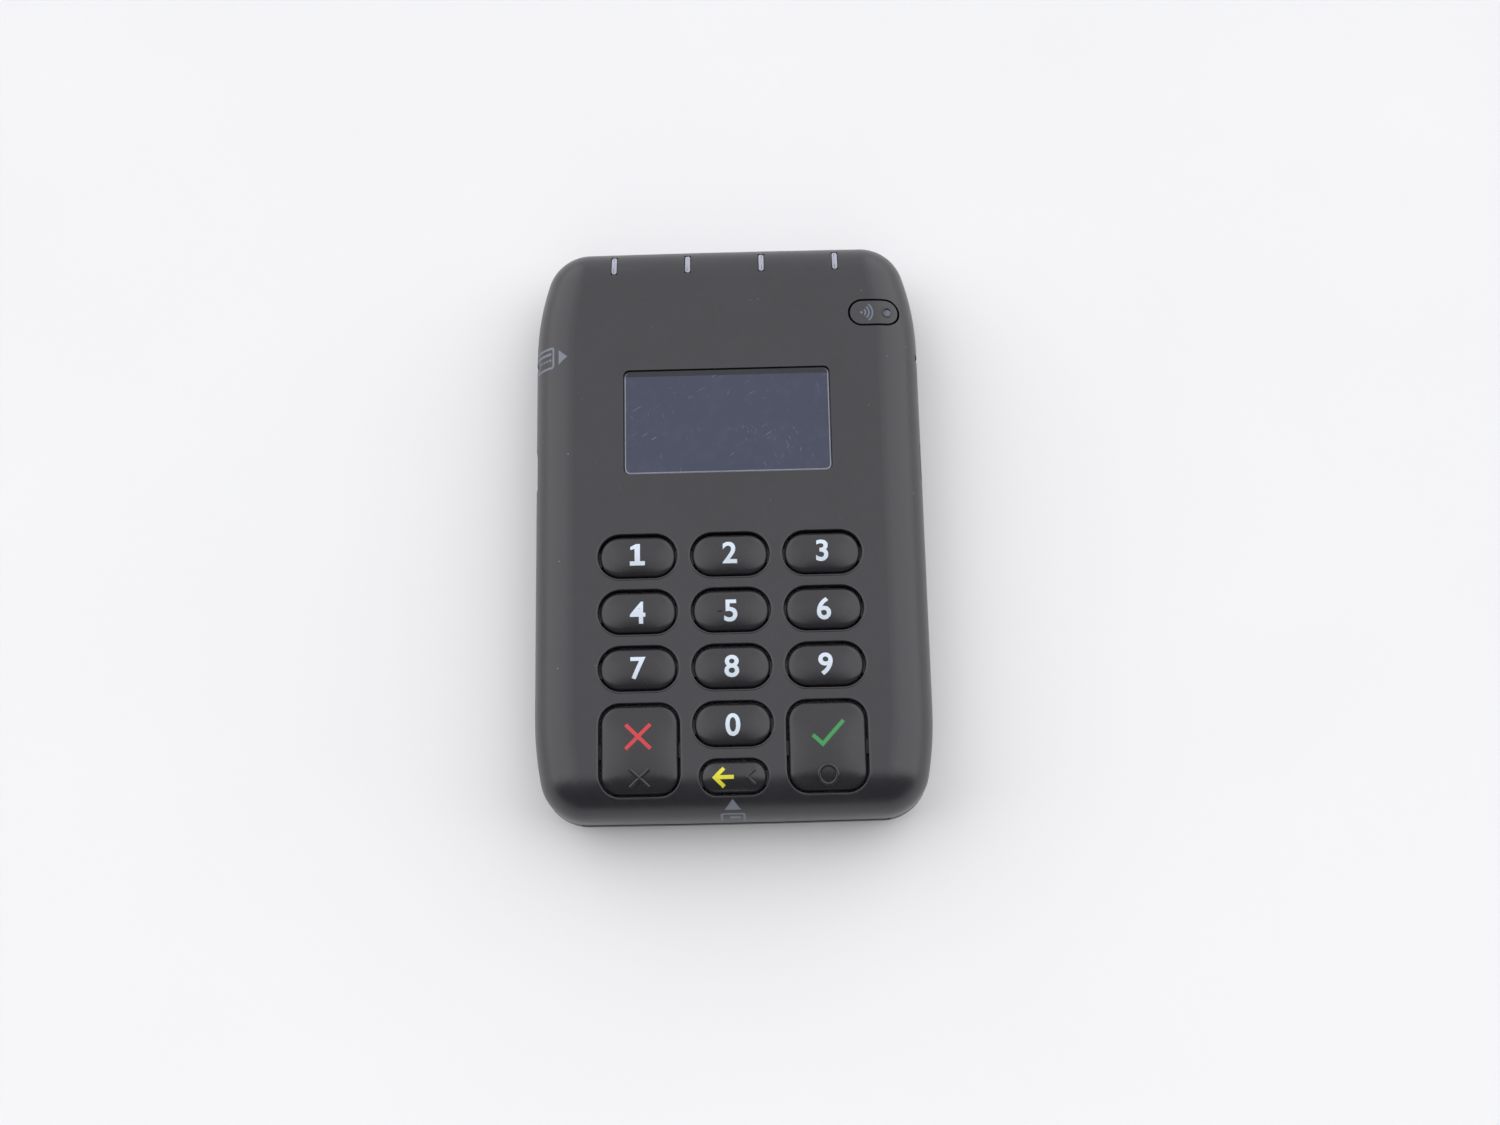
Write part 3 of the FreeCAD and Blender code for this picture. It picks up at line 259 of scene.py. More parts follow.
@dataclass(frozen=True)
class CasingPlastic:
    """Spark-textured dark plastic with handling marks and a little dust."""

    name: str = "casing_plastic"
    colour: Colour = (0.0165, 0.0162, 0.0195)
    roughness: float = 0.33
    grain_size: float = 0.32
    grain_depth: float = 0.02
    dust: float = 0.45

    def build(self) -> bpy.types.Material:
        """Make the material."""
        g = Graph(self.name)
        cloud = g.noise(14.0, 4.0, 0.6)
        mottle = g.noise(2.3, 3.0, 0.6)
        rubs = g.noise(1.0, 2.0, 0.5, (0.9, 0.06, 0.3), 24.0).above(0.66, 0.10)
        rubs = rubs * g.noise(9.0).above(0.5, 0.15)
        specks = (1 - g.cells(2.6)).above(0.935, 0.03) * g.noise(7.0, 1.0).above(0.55, 0.1)
        tone = cloud * 0.3 + mottle * 0.3 - 0.3
        base = g.mix((tone + 0.16 + rubs * 0.5).held(), self.colour, scaled(self.colour, 1.9))
        base = g.mix(specks * self.dust, base, (0.34, 0.34, 0.33))
        grain = g.noise(self.grain_size, 2.0, 0.55)
        normal = g.bump(grain, self.grain_depth)
        rough = (self.roughness + (cloud - 0.5) * 0.14 + (mottle - 0.5) * 0.08) - rubs * 0.05
        return g.coat({
            "Base Color": base, "Roughness": rough, "Normal": normal,
            "IOR": 1.5, "Specular IOR Level": 0.58,
        })


@dataclass(frozen=True)
class KeyPlastic:
    """Smooth satin plastic of the key caps, a little polished by fingers."""

    name: str = "key_plastic"
    colour: Colour = (0.016, 0.0158, 0.018)
    roughness: float = 0.27

    def build(self) -> bpy.types.Material:
        """Make the material."""
        g = Graph(self.name)
        cloud = g.noise(5.0, 3.0, 0.6)
        fine = g.noise(0.18, 2.0, 0.5)
        smear = g.noise(1.4, 2.0, 0.5, (0.35, 1.0, 1.0), -31.0)
        specks = (1 - g.cells(1.9)).above(0.95, 0.03) * g.noise(4.0, 1.0).above(0.58, 0.08)
        base = g.mix(cloud * 0.5, self.colour, scaled(self.colour, 1.5))
        base = g.mix(specks * 0.3, base, (0.3, 0.3, 0.3))
        rough = self.roughness + (cloud - 0.5) * 0.12 + (smear - 0.5) * 0.10
        return g.coat({
            "Base Color": base, "Roughness": rough, "Normal": g.bump(fine, 0.004),
            "IOR": 1.5,
        })


class Ink(Enum):
    """Printed colours of the legends."""

    WHITE = ("legend_white", (0.57, 0.64, 0.72))
    RED = ("legend_red", (0.52, 0.030, 0.034))
    GREEN = ("legend_green", (0.030, 0.25, 0.065))
    YELLOW = ("legend_yellow", (0.66, 0.61, 0.028))
    GREY = ("guide_grey", (0.165, 0.180, 0.215))
    BLUE = ("radio_blue", (0.125, 0.155, 0.20))

    def build(self) -> bpy.types.Material:
        """Make the ink: nearly even, with fine mottling and slightly worn patches."""
        name, colour = self.value
        g = Graph(name)
        mottle = g.noise(0.5, 3.0, 0.6)
        wear = g.noise(2.2, 4.0, 0.7).above(0.62, 0.2)
        base = g.mix(mottle * 0.25 + wear * 0.25, colour, scaled(colour, 0.72))
        return g.coat({
            "Base Color": base, "Roughness": 0.42 + mottle * 0.12,
            "Normal": g.bump(g.noise(0.16), 0.003),
        })


@dataclass(frozen=True)
class SmokedWindow:
    """Tinted display window with hairline scratches, and painted shade along its upper edge."""

    name: str = "display_window"
    colour: Colour = (0.046, 0.052, 0.085)
    cover: float = 0.90
    mask_from: float = 26.9

    def build(self) -> bpy.types.Material:
        """Make the material."""
        g = Graph(self.name)
        haze = g.noise(11.0, 3.0, 0.55)
        scratches = self._scratches(g)
        smudge = g.noise(3.5, 4.0, 0.65).above(0.5, 0.3)
        base = g.mix(haze * 0.5, self.colour, scaled(self.colour, 1.35))
        base = g.mix(smudge * 0.10, base, (0.16, 0.17, 0.21))
        base = g.mix(scratches * 0.24, base, (0.42, 0.46, 0.55))
        # Painted shade: a dark band along the upper edge, where the recess wall shades the window.
        base = g.mix(g.axis("Y").above(self.mask_from, 0.12) * 0.85, base, (0.022, 0.022, 0.024))
        skin = g.surface({
            "Base Color": base, "Specular IOR Level": 0.35,
            "Roughness": 0.16 + smudge * 0.12 + scratches * 0.3,
            "Normal": g.bump(scratches, 0.004), "IOR": 1.49,
        })
        clear = Wire(g, g.node("ShaderNodeBsdfTransparent", {}, {"Color": (0.55, 0.58, 0.68)}).outputs[0])
        factor = (scratches * 0.1 + self.cover).held()
        mixed = g.node("ShaderNodeMixShader", {}, {0: factor, 1: clear, 2: skin})
        return g.finish(Wire(g, mixed.outputs[0]))

    @staticmethod
    def _scratches(g: Graph) -> Wire:
        """Thin streaks in three directions, each only in patches."""
        total: Value = 0.0
        for turn, size, level in ((28.0, 0.15, 0.72), (-58.0, 0.18, 0.73), (-12.0, 0.14, 0.715)):
            streak = g.noise(size, 1.0, 0.4, (1.0, 0.07, 1.0), turn).above(level, 0.06)
            patch = g.noise(5.0, 1.0, 0.5, (1.0, 1.0, 1.0), turn).above(0.50, 0.14)
            total = streak * patch + total
        return total


@dataclass(frozen=True)
class FrostedEdge:
    """Sawn edge of the window plate, with a painted highlight, pale where light leaves it, and painted
    shade, dim under the upper side.
    """

    name: str = "window_edge_frost"
    dim_from: float = 26.6

    def build(self) -> bpy.types.Material:
        """Make the material."""
        g = Graph(self.name)
        saw = g.noise(0.35, 3.0, 0.6)
        # Painted highlight: the pale colours stand for light leaving the sawn edge.
        base = g.mix(saw, (0.17, 0.175, 0.21), (0.36, 0.37, 0.42))
        # Painted shade: the edge turns dark towards its upper side, where it lies in shadow.
        base = g.mix(g.axis("Y").above(self.dim_from, 1.2), base, (0.03, 0.03, 0.033))
        return g.coat({
            "Base Color": base, "Roughness": 0.35 + saw * 0.2, "Normal": g.bump(saw, 0.01), "IOR": 1.49,
        })


@dataclass(frozen=True)
class DisplayPanel:
    """Unlit panel behind the window: dark with a faint dot grid."""

    name: str = "display_panel"
    pitch: float = 0.28

    def build(self) -> bpy.types.Material:
        """Make the material."""
        g = Graph(self.name)
        half = self.pitch / 2
        lines = [g.maths("PINGPONG", g.axis(name), half).above(half * 0.82, 0.02) for name in "XY"]
        grid = lines[0].math("MAXIMUM", lines[1])
        base = g.mix(grid * 0.4, (0.035, 0.040, 0.055), (0.012, 0.014, 0.02))
        return g.coat({"Base Color": base, "Roughness": 0.18 + grid * 0.1, "IOR": 1.5})


@dataclass(frozen=True)
class MilkyGuide:
    """Translucent light guide, unlit."""

    name: str = "light_guide_milk"
    colour: Colour = (0.33, 0.335, 0.40)

    def build(self) -> bpy.types.Material:
        """Make the material."""
        g = Graph(self.name)
        cloud = g.noise(1.2, 3.0, 0.6)
        base = g.mix(cloud * 0.5, self.colour, scaled(self.colour, 0.8))
        return g.coat({
            "Base Color": base, "Roughness": 0.3 + cloud * 0.15,
            "Subsurface Weight": 0.3, "Subsurface Radius": (0.4, 0.4, 0.5), "Subsurface Scale": 0.5 * MM,
            "Normal": g.bump(g.noise(0.2), 0.004),
        })


@dataclass(frozen=True)
class SoftRubber:
    """Matt elastomer for the feet, the keypad mat and the gasket."""

    name: str
    colour: Colour
    roughness: float = 0.7

    def build(self) -> bpy.types.Material:
        """Make the material."""
        g = Graph(self.name)
        cloud = g.noise(2.0, 4.0, 0.65)
        dust = g.noise(0.6, 2.0, 0.6).above(0.62, 0.1)
        base = g.mix(cloud, scaled(self.colour, 0.8), self.colour)
        base = g.mix(dust * 0.12, base, (0.3, 0.29, 0.27))
        return g.coat({
            "Base Color": base, "Roughness": self.roughness + (cloud - 0.5) * 0.15,
            "Normal": g.bump(g.noise(0.25, 3.0), 0.015), "Sheen Weight": 0.1,
        })


@dataclass(frozen=True)
class MouldedBlack:
    """Glass-filled black plastic of connectors and frames."""

    name: str = "moulded_black"

    def build(self) -> bpy.types.Material:
        """Make the material."""
        g = Graph(self.name)
        flow = g.noise(1.6, 4.0, 0.6, (1.0, 0.4, 1.0))
        base = g.mix(flow, (0.012, 0.012, 0.013), (0.030, 0.030, 0.032))
        return g.coat({
            "Base Color": base, "Roughness": 0.38 + flow * 0.2, "Normal": g.bump(g.noise(0.15), 0.008),
        })


@dataclass(frozen=True)
class Metal:
    """Plated sheet or turned metal with fine drawn lines."""

    name: str
    colour: Colour
    roughness: float = 0.3
    drawn: Sequence[float] = (1.0, 0.06, 1.0)

    def build(self) -> bpy.types.Material:
        """Make the material."""
        g = Graph(self.name)
        lines = g.noise(0.12, 2.0, 0.6, self.drawn)
        stain = g.noise(3.0, 4.0, 0.6)
        base = g.mix(stain * 0.5, self.colour, scaled(self.colour, 0.75))
        return g.coat({
            "Base Color": base, "Metallic": 1.0,
            "Roughness": self.roughness + (lines - 0.5) * 0.2 + (stain - 0.5) * 0.15,
            "Normal": g.bump(lines, 0.003),
        })


@dataclass(frozen=True)
class BoardLaminate:
    """Circuit board: solder mask over tracks, with plated pads."""

    name: str = "board_laminate"

    def build(self) -> bpy.types.Material:
        """Make the material."""
        g = Graph(self.name)
        tracks = [g.maths("PINGPONG", g.axis(name) + g.noise(7.0) * 6.0, 0.45).above(0.3, 0.04)
                  for name in "XY"]
        choice = g.noise(5.0, 0.0).above(0.5, 0.02)
        copper = tracks[0] * choice + tracks[1] * (1 - choice)
        pads = (1 - g.cells(2.2)).above(0.80, 0.02)
        weave = g.noise(0.3, 1.0)
        mask = g.mix(copper * 0.6, (0.010, 0.085, 0.035), (0.020, 0.150, 0.060))
        base = g.mix(pads, mask, (0.62, 0.48, 0.20))
        return g.coat({
            "Base Color": base, "Metallic": pads * 0.9, "Roughness": 0.32 + weave * 0.12,
            "Normal": g.bump(copper * 0.6 + pads * 0.4 + weave * 0.1, 0.03), "Coat Weight": 0.3,
        })


@dataclass(frozen=True)
class FlexFilm:
    """Amber flexible circuit with parallel tracks."""

    name: str = "flex_film"

    def build(self) -> bpy.types.Material:
        """Make the material."""
        g = Graph(self.name)
        tracks = g.maths("PINGPONG", g.axis("X"), 0.25).above(0.12, 0.03)
        base = g.mix(tracks, (0.30, 0.11, 0.018), (0.46, 0.20, 0.04))
        return g.coat({
            "Base Color": base, "Roughness": 0.28 + g.noise(0.8) * 0.15, "Normal": g.bump(tracks, 0.015),
        })


@dataclass(frozen=True)
class FoilPouch:
    """Crinkled foil of the battery's pouch."""

    name: str = "foil_pouch"

    def build(self) -> bpy.types.Material:
        """Make the material."""
        g = Graph(self.name)
        crease = g.noise(3.0, 5.0, 0.6)
        base = g.mix(crease, (0.36, 0.37, 0.40), (0.52, 0.53, 0.55))
        return g.coat({
            "Base Color": base, "Metallic": 0.6, "Roughness": 0.35 + crease * 0.2,
            "Normal": g.bump(crease, 0.12),
        })


@dataclass(frozen=True)
class LabelFilm:
    """Blank silver label: a border line and empty ruled fields."""

    name: str = "label_film"
    half_width: float = 20.0
    half_depth: float = 12.0
    middle: float = -6.0

    def build(self) -> bpy.types.Material:
        """Make the material."""
        g = Graph(self.name)
        x = g.axis("X").math("ABSOLUTE")
        y = (g.axis("Y") - self.middle).math("ABSOLUTE")
        edge = (x - (self.half_width - 1.0)).math("MAXIMUM", y - (self.half_depth - 1.0))
        border = edge.above(0.0, 0.04) - edge.above(0.22, 0.04)
        rules = g.maths("PINGPONG", g.axis("Y") - self.middle, 2.4).above(2.26, 0.04)
        rules = rules * (1 - edge.above(-1.2, 0.02))
        fibre = g.noise(0.3, 3.0, 0.6, (1.0, 0.3, 1.0))
        base = g.mix(fibre, (0.40, 0.41, 0.42), (0.50, 0.50, 0.51))
        base = g.mix(border.math("MAXIMUM", rules * 0.5), base, (0.05, 0.05, 0.055))
        return g.coat({
            "Base Color": base, "Metallic": 0.3, "Roughness": 0.42 + fibre * 0.15,
            "Normal": g.bump(fibre, 0.004),
        })


# ------------------------------------------------------------------ shapes


def rounded_ring(width: float, depth: float, corner: float, corner_steps: int = 10,
                 side_steps: int = 14) -> list[Point]:
    """Outline of a rectangle with round corners, anticlockwise, always with the same count of points.

    Args:
        width: size along X.
        depth: size along Y.
        corner: corner radius.
        corner_steps: segments in each corner.
        side_steps: segments in each straight side.

    Returns:
        The outline's points.
    """
    signs = ((1, 1), (-1, 1), (-1, -1), (1, -1))
    points: list[Point] = []
    for quarter, (sx, sy) in enumerate(signs):
        for step in range(corner_steps + 1):
            angle = math.pi / 2 * (quarter + step / corner_steps)
            points.append((
                sx * (width / 2 - corner) + corner * math.cos(angle),
                sy * (depth / 2 - corner) + corner * math.sin(angle),
            ))
        x0, y0 = points[-1]
        nx, ny = signs[(quarter + 1) % 4]
        angle = math.pi / 2 * (quarter + 1)
        x1 = nx * (width / 2 - corner) + corner * math.cos(angle)
        y1 = ny * (depth / 2 - corner) + corner * math.sin(angle)
        points += [(x0 + (x1 - x0) * i / side_steps, y0 + (y1 - y0) * i / side_steps)
                   for i in range(1, side_steps)]
    return points


def quarter_turn(steps: int) -> list[float]:
    """Angles from nothing to a quarter turn, in radians."""
    return [math.pi / 2 * step / steps for step in range(steps + 1)]


def arc(middle: Point, radius: float, start: float, end: float, steps: int = 16) -> list[Point]:
    """Points on an arc, from one angle in degrees to another."""
    return [
        (middle[0] + radius * math.cos(math.radians(start + (end - start) * i / steps)),
         middle[1] + radius * math.sin(math.radians(start + (end - start) * i / steps)))
        for i in range(steps + 1)
    ]


def stroke(path: Sequence[Point], width: float) -> list[Point]:
    """Outline of an open path drawn with a broad pen, with mitred bends and square ends."""
    left, right = [], []
    for index, (x, y) in enumerate(path):
        before = path[max(index - 1, 0)]
        after = path[min(index + 1, len(path) - 1)]
        first = Vector((x - before[0], y - before[1]))
        second = Vector((after[0] - x, after[1] - y))
        first = (first if first.length else second).normalized()
        second = (second if second.length else first).normalized()
        bisector = (first + second).normalized()
        reach = width / 2 / max(0.3, bisector.dot(first))
        side = Vector((-bisector.y, bisector.x)) * reach
        left.append((x + side.x, y + side.y))
        right.append((x - side.x, y - side.y))
    return left + right[::-1]


class FlatShape:
    """A filled flat figure in millimetres, from closed outlines or from a character."""

    def __init__(self, mesh: bpy.types.Mesh) -> None:
        """Hold a flat mesh."""
        self.mesh = mesh

    @classmethod
    def outlines(cls, loops: Iterable[Sequence[Point]]) -> FlatShape:
        """Fill closed outlines; one inside another is a hole.

        Args:
            loops: the outlines.

        Returns:
            The shape.
        """
        curve = bpy.data.curves.new("figure", "CURVE")
        curve.dimensions = "2D"
        curve.fill_mode = "BOTH"
        for loop in loops:
            spline = curve.splines.new("POLY")
            spline.points.add(len(loop) - 1)
            for point, (x, y) in zip(spline.points, loop):
                point.co = (x, y, 0.0, 1.0)
            spline.use_cyclic_u = True
        return cls(cls._to_mesh(curve))

    @classmethod
    def character(cls, letter: str, height: float, weight: float) -> FlatShape:
        """One generic character, centred, with a cap height and an added weight in millimetres."""
        def drawn(size: float = 1.0, offset: float = 0.0) -> bpy.types.Mesh:
            """The character at a size, with its outline moved outwards."""
            curve = bpy.data.curves.new("character", "FONT")
            curve.body, curve.resolution_u, curve.size, curve.offset = letter, 8, size, offset
            return cls._to_mesh(curve)

        plain = drawn()
        ys = [v.co.y for v in plain.vertices]
        size = (height - 2 * weight) / (max(ys) - min(ys))
        bpy.data.meshes.remove(plain)
        shape = cls(drawn(size, weight))
        shape.centre()
        return shape

    @staticmethod
    def _to_mesh(curve: bpy.types.Curve) -> bpy.types.Mesh:
        """Turn a curve or text into a mesh and drop the curve."""
        holder = bpy.data.objects.new("figure", curve)
        bpy.context.scene.collection.objects.link(holder)
        graph = bpy.context.evaluated_depsgraph_get()
        mesh = bpy.data.meshes.new_from_object(holder.evaluated_get(graph))
        bpy.data.objects.remove(holder)
        bpy.data.curves.remove(curve)
        return mesh

    def centre(self) -> None:
        """Move the shape's middle to the origin."""
        xs = [v.co.x for v in self.mesh.vertices]
        ys = [v.co.y for v in self.mesh.vertices]
        shift = Vector(((max(xs) + min(xs)) / 2, (max(ys) + min(ys)) / 2, 0))
        self.mesh.transform(Matrix.Translation(-shift))

    def laid(self, onto: Surface, step: float,
             thickness: float) -> bmesh.types.BMesh:
        """Lay the figure on a surface as a thin closed skin.

        Args:
            onto: place of a flat point at a height above the surface, in millimetres.
            step: longest edge, so that the skin follows the surface.
            thickness: height above the surface, and depth sunk under it.

        Returns:
            The skin, in millimetres.
        """
        work = bmesh.new()
        work.from_mesh(self.mesh)
        bpy.data.meshes.remove(self.mesh)
        bmesh.ops.remove_doubles(work, verts=work.verts, dist=1e-5)
        for axis in (0, 1):
            spread = [v.co[axis] for v in work.verts]
            count = math.ceil((max(spread) - min(spread)) / step)
            normal = Vector((axis == 0, axis == 1, 0))
            for cut in range(1, count):
                level = min(spread) + (max(spread) - min(spread)) * cut / count
                bmesh.ops.bisect_plane(work, geom=work.verts[:] + work.edges[:] + work.faces[:],
                                       plane_co=normal * level, plane_no=normal, dist=1e-6)
        flat = {v: (v.co.x, v.co.y) for v in work.verts}
        made = bmesh.ops.extrude_face_region(work, geom=work.faces[:], use_keep_orig=True)
        copies = [item for item in made["geom"] if isinstance(item, bmesh.types.BMVert)]
        for vertex in copies:
            vertex.co = onto(vertex.co.x, vertex.co.y, thickness)
        for vertex, (x, y) in flat.items():
            vertex.co = onto(x, y, -thickness)
        bmesh.ops.recalc_face_normals(work, faces=work.faces)
        return work


def lathe(profile: Sequence[Point], steps: int) -> bmesh.types.BMesh:
    """Closed solid turned about Z from points of radius and height, both ends on the axis."""
    work = bmesh.new()
    rings = []
    for radius, height in profile:
        if radius < 1e-6:
            rings.append([work.verts.new((0, 0, height))])
            continue
        angles = [math.tau * i / steps for i in range(steps)]
        rings.append([work.verts.new((radius * math.cos(a), radius * math.sin(a), height)) for a in angles])
    for low, high in zip(rings, rings[1:]):
        for i in range(steps):
            j = (i + 1) % steps
            corners = [low[i % len(low)], low[j % len(low)], high[j % len(high)], high[i % len(high)]]
            unique = list(dict.fromkeys(corners))
            if len(unique) > 2:
                work.faces.new(unique)
    bmesh.ops.recalc_face_normals(work, faces=work.faces)
    return work


def bridge(work: bmesh.types.BMesh, lower: Sequence, upper: Sequence) -> None:
    """Fill between two rings with the same count of points."""
    for i in range(len(lower)):
        j = (i + 1) % len(lower)
        work.faces.new((lower[i], lower[j], upper[j], upper[i]))


def prism(outline: Sequence[Point], levels: Sequence[tuple[float, float]]) -> bmesh.types.BMesh:
    """Closed solid of stacked copies of an outline.

    Args:
        outline: the outline at no inset.
        levels: height and inset of each ring, from the bottom up.

    Returns:
        The solid.
    """
    work = bmesh.new()
    rings = []
    for height, inset in levels:
        ring = inset_outline(outline, inset)
        rings.append([work.verts.new((x, y, height)) for x, y in ring])
    for low, high in zip(rings, rings[1:]):
        bridge(work, low, high)
    work.faces.new(rings[0][::-1])
    work.faces.new(rings[-1])
    return work


def inset_outline(outline: Sequence[Point], inset: float) -> list[Point]:
    """Outline moved inwards along its own normals."""
    if not inset:
        return list(outline)
    moved = []
    for index, (x, y) in enumerate(outline):
        x0, y0 = outline[index - 1]
        x1, y1 = outline[(index + 1) % len(outline)]
        along = Vector((x1 - x0, y1 - y0)).normalized()
        moved.append((x - along.y * inset, y + along.x * inset))
    return moved


def to_mesh(work: bmesh.types.BMesh, name: str, smooth: float = 35.0) -> bpy.types.Mesh:
    """Finish a mesh made in millimetres: metres, smooth faces, sharp edges above an angle."""
    mesh = bpy.data.meshes.new(name)
    bmesh.ops.scale(work, vec=(MM, MM, MM), verts=work.verts)
    work.to_mesh(mesh)
    work.free()
    mesh.shade_smooth()
    mesh.set_sharp_from_angle(angle=math.radians(smooth))
    return mesh


def join(parts: Iterable[bmesh.types.BMesh]) -> bmesh.types.BMesh:
    """Several meshes as one."""
    whole = bmesh.new()
    for part in parts:
        spare = bpy.data.meshes.new("part")
        part.to_mesh(spare)
        part.free()
        whole.from_mesh(spare)
        bpy.data.meshes.remove(spare)
    return whole


# ------------------------------------------------------------------ geometry nodes


class Recipe:
    """A geometry node tree with named inputs, run once on an object."""

    def __init__(self, name: str) -> None:
        """Start a tree with a geometry input and output."""
        self.tree = bpy.data.node_groups.new(name, "GeometryNodeTree")
        self.tree.interface.new_socket("Geometry", in_out="INPUT", socket_type="NodeSocketGeometry")
        self.tree.interface.new_socket("Geometry", in_out="OUTPUT", socket_type="NodeSocketGeometry")
        self.entry = self.tree.nodes.new("NodeGroupInput")
        self.exit = self.tree.nodes.new("NodeGroupOutput")

    def asks(self, name: str, kind: str) -> bpy.types.NodeSocket:
        """Add a named input and return its socket inside the tree."""
        self.tree.interface.new_socket(name, in_out="INPUT", socket_type=kind)
        return self.entry.outputs[name]

    def node(self, kind: str, values: dict, settings: Optional[dict] = None) -> bpy.types.Node:
        """Add a node, with inputs from sockets or plain values."""
        made = self.tree.nodes.new(kind)
        for name, setting in (settings or {}).items():
            setattr(made, name, setting)
        for key, value in values.items():
            if isinstance(value, bpy.types.NodeSocket):
                self.tree.links.new(value, made.inputs[key])
            else:
                made.inputs[key].default_value = value
        return made

    def ends(self, geometry: bpy.types.NodeSocket) -> None:
        """Close the tree: real geometry, one material."""
        material = self.asks("Finish", "NodeSocketMaterial")
        real = self.node("GeometryNodeRealizeInstances", {"Geometry": geometry})
        dressed = self.node("GeometryNodeSetMaterial", {"Geometry": real.outputs[0], "Material": material})
        self.tree.links.new(dressed.outputs[0], self.exit.inputs[0])

    def run(self, source: bpy.types.Object, values: dict, name: str) -> bpy.types.Mesh:
        """Run the tree on an object and give back a plain mesh.

        Args:
            source: the object that carries the modifier; it is removed.
            values: input name to value.
            name: the mesh's name.

        Returns:
            The result.
        """
        bpy.context.scene.collection.objects.link(source)
        modifier = source.modifiers.new(self.tree.name, "NODES")
        modifier.node_group = self.tree
        for item in self.tree.interface.items_tree:
            if item.name in values:
                modifier[item.identifier] = values[item.name]
        graph = bpy.context.evaluated_depsgraph_get()
        mesh = bpy.data.meshes.new_from_object(source.evaluated_get(graph))
        source.modifiers.remove(modifier)
        bpy.data.objects.remove(source)
        mesh.name = name
        return mesh


def rib_recipe() -> Recipe:
    """Rib of round section along a chain of mesh edges."""
    recipe = Recipe("rib_along_edges")
    radius = recipe.asks("Radius", "NodeSocketFloat")
    path = recipe.node("GeometryNodeMeshToCurve", {"Mesh": recipe.entry.outputs["Geometry"]})
    section = recipe.node("GeometryNodeCurvePrimitiveCircle", {"Resolution": 16, "Radius": radius})
    swept = recipe.node("GeometryNodeCurveToMesh", {
        "Curve": path.outputs[0], "Profile Curve": section.outputs[0], "Fill Caps": True,
    })
    smooth = recipe.node("GeometryNodeSetShadeSmooth", {"Geometry": swept.outputs[0]})
    recipe.ends(smooth.outputs[0])
    return recipe


def scatter_recipe() -> Recipe:
    """One pattern object at each point, each turned about Z by a seeded random angle."""
    recipe = Recipe("set_of_copies")
    pattern = recipe.asks("Pattern", "NodeSocketObject")
    seed = recipe.asks("Seed", "NodeSocketInt")
    info = recipe.node("GeometryNodeObjectInfo", {"Object": pattern})
    turn = recipe.node("FunctionNodeRandomValue", {"Seed": seed}, {"data_type": "FLOAT"})
    turn.inputs[3].default_value = math.tau
    spin = recipe.node("ShaderNodeCombineXYZ", {"Z": turn.outputs[1]})
    copies = recipe.node("GeometryNodeInstanceOnPoints", {
        "Points": recipe.entry.outputs["Geometry"],
        "Instance": info.outputs["Geometry"], "Rotation": spin.outputs[0],
    })
    recipe.ends(copies.outputs[0])
    return recipe


# ------------------------------------------------------------------ pieces


class Workshop:
    """Makes pieces of finished meshes and keeps one material for each finish."""

    def __init__(self, nodes: dict[str, bpy.types.Object]) -> None:
        """Remember the CAD nodes.

        Args:
            nodes: the frame's nodes by name.
        """
        self.nodes = nodes
        self.materials: dict[Finish, bpy.types.Material] = {}
        self.ribs = rib_recipe()

    def material(self, finish: Finish) -> bpy.types.Material:
        """The one material of a finish."""
        if finish not in self.materials:
            self.materials[finish] = finish.build()
        return self.materials[finish]

    def add(self, mesh: bpy.types.Mesh, name: str, finish: Finish, body: str = "casing",
            slot: str = "casing_plastic", stands_for: Sequence[str] = ()) -> bpy.types.Object:
        """Make a piece that rides on a body.

        Args:
            mesh: its mesh, in metres, in place.
            name: its name.
            finish: its finish.
            body: the body that it rides on.
            slot: not used.
            stands_for: CAD nodes that it replaces.

        Returns:
            The piece.
        """
        piece = bpy.data.objects.new(name, mesh)
        mesh.materials.clear()
        mesh.materials.append(self.material(finish))
        bpy.context.scene.collection.objects.link(piece)
        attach(piece, body)
        if stands_for:
            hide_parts(*stands_for)
        LOG.info("%s: %d faces on %s", name, len(mesh.polygons), body)
        return piece

    def sweep(self, path: Sequence[Vector], closed: bool, radius: float, finish: Finish, name: str,
              *rides: str) -> None:
        """Add a rib of round section along a path.

        Args:
            path: its points.
            closed: whether the path ends where it starts.
            radius: radius of the section.
            finish: the rib's finish.
            name: the piece's name.
            rides: its body and slot, where they are not the casing's.
        """
        points = [point * MM for index, point in enumerate(path) if (point - path[index - 1]).length > 1e-4]
        last = len(points) if closed else len(points) - 1
        chain = bpy.data.meshes.new("rib_path")
        chain.from_pydata(points, [(i, (i + 1) % len(points)) for i in range(last)], [])
        source = bpy.data.objects.new("rib_path", chain)
        values = {"Radius": radius * MM, "Finish": self.material(finish)}
        mesh = self.ribs.run(source, values, name)
        self.add(mesh, mesh.name, finish, *rides)

    def lay(self, shape: FlatShape, onto: Surface, step: float, skin: float, name: str, ink: Ink,
            *rides: str) -> None:
        """Add a printed figure.

        Args:
            shape: the figure.
            onto: place of a flat point at a height above the surface.
            step: longest edge, so that the figure follows the surface.
            skin: its thickness.
            name: the piece's name.
            ink: its colour.
            rides: its body and slot, where they are not the casing's.
        """
        mesh = to_mesh(shape.laid(onto, step, skin), name, 60.0)
        self.add(mesh, mesh.name, ink, *rides)

    def dress(self, finish: Finish, *names: str) -> None:
        """Give CAD nodes a finish."""
        for name in names:
            mesh = self.nodes[name].data
            mesh.materials.clear()
            mesh.materials.append(self.material(finish))
            LOG.info("%s: dressed as %s", name, self.material(finish).name)


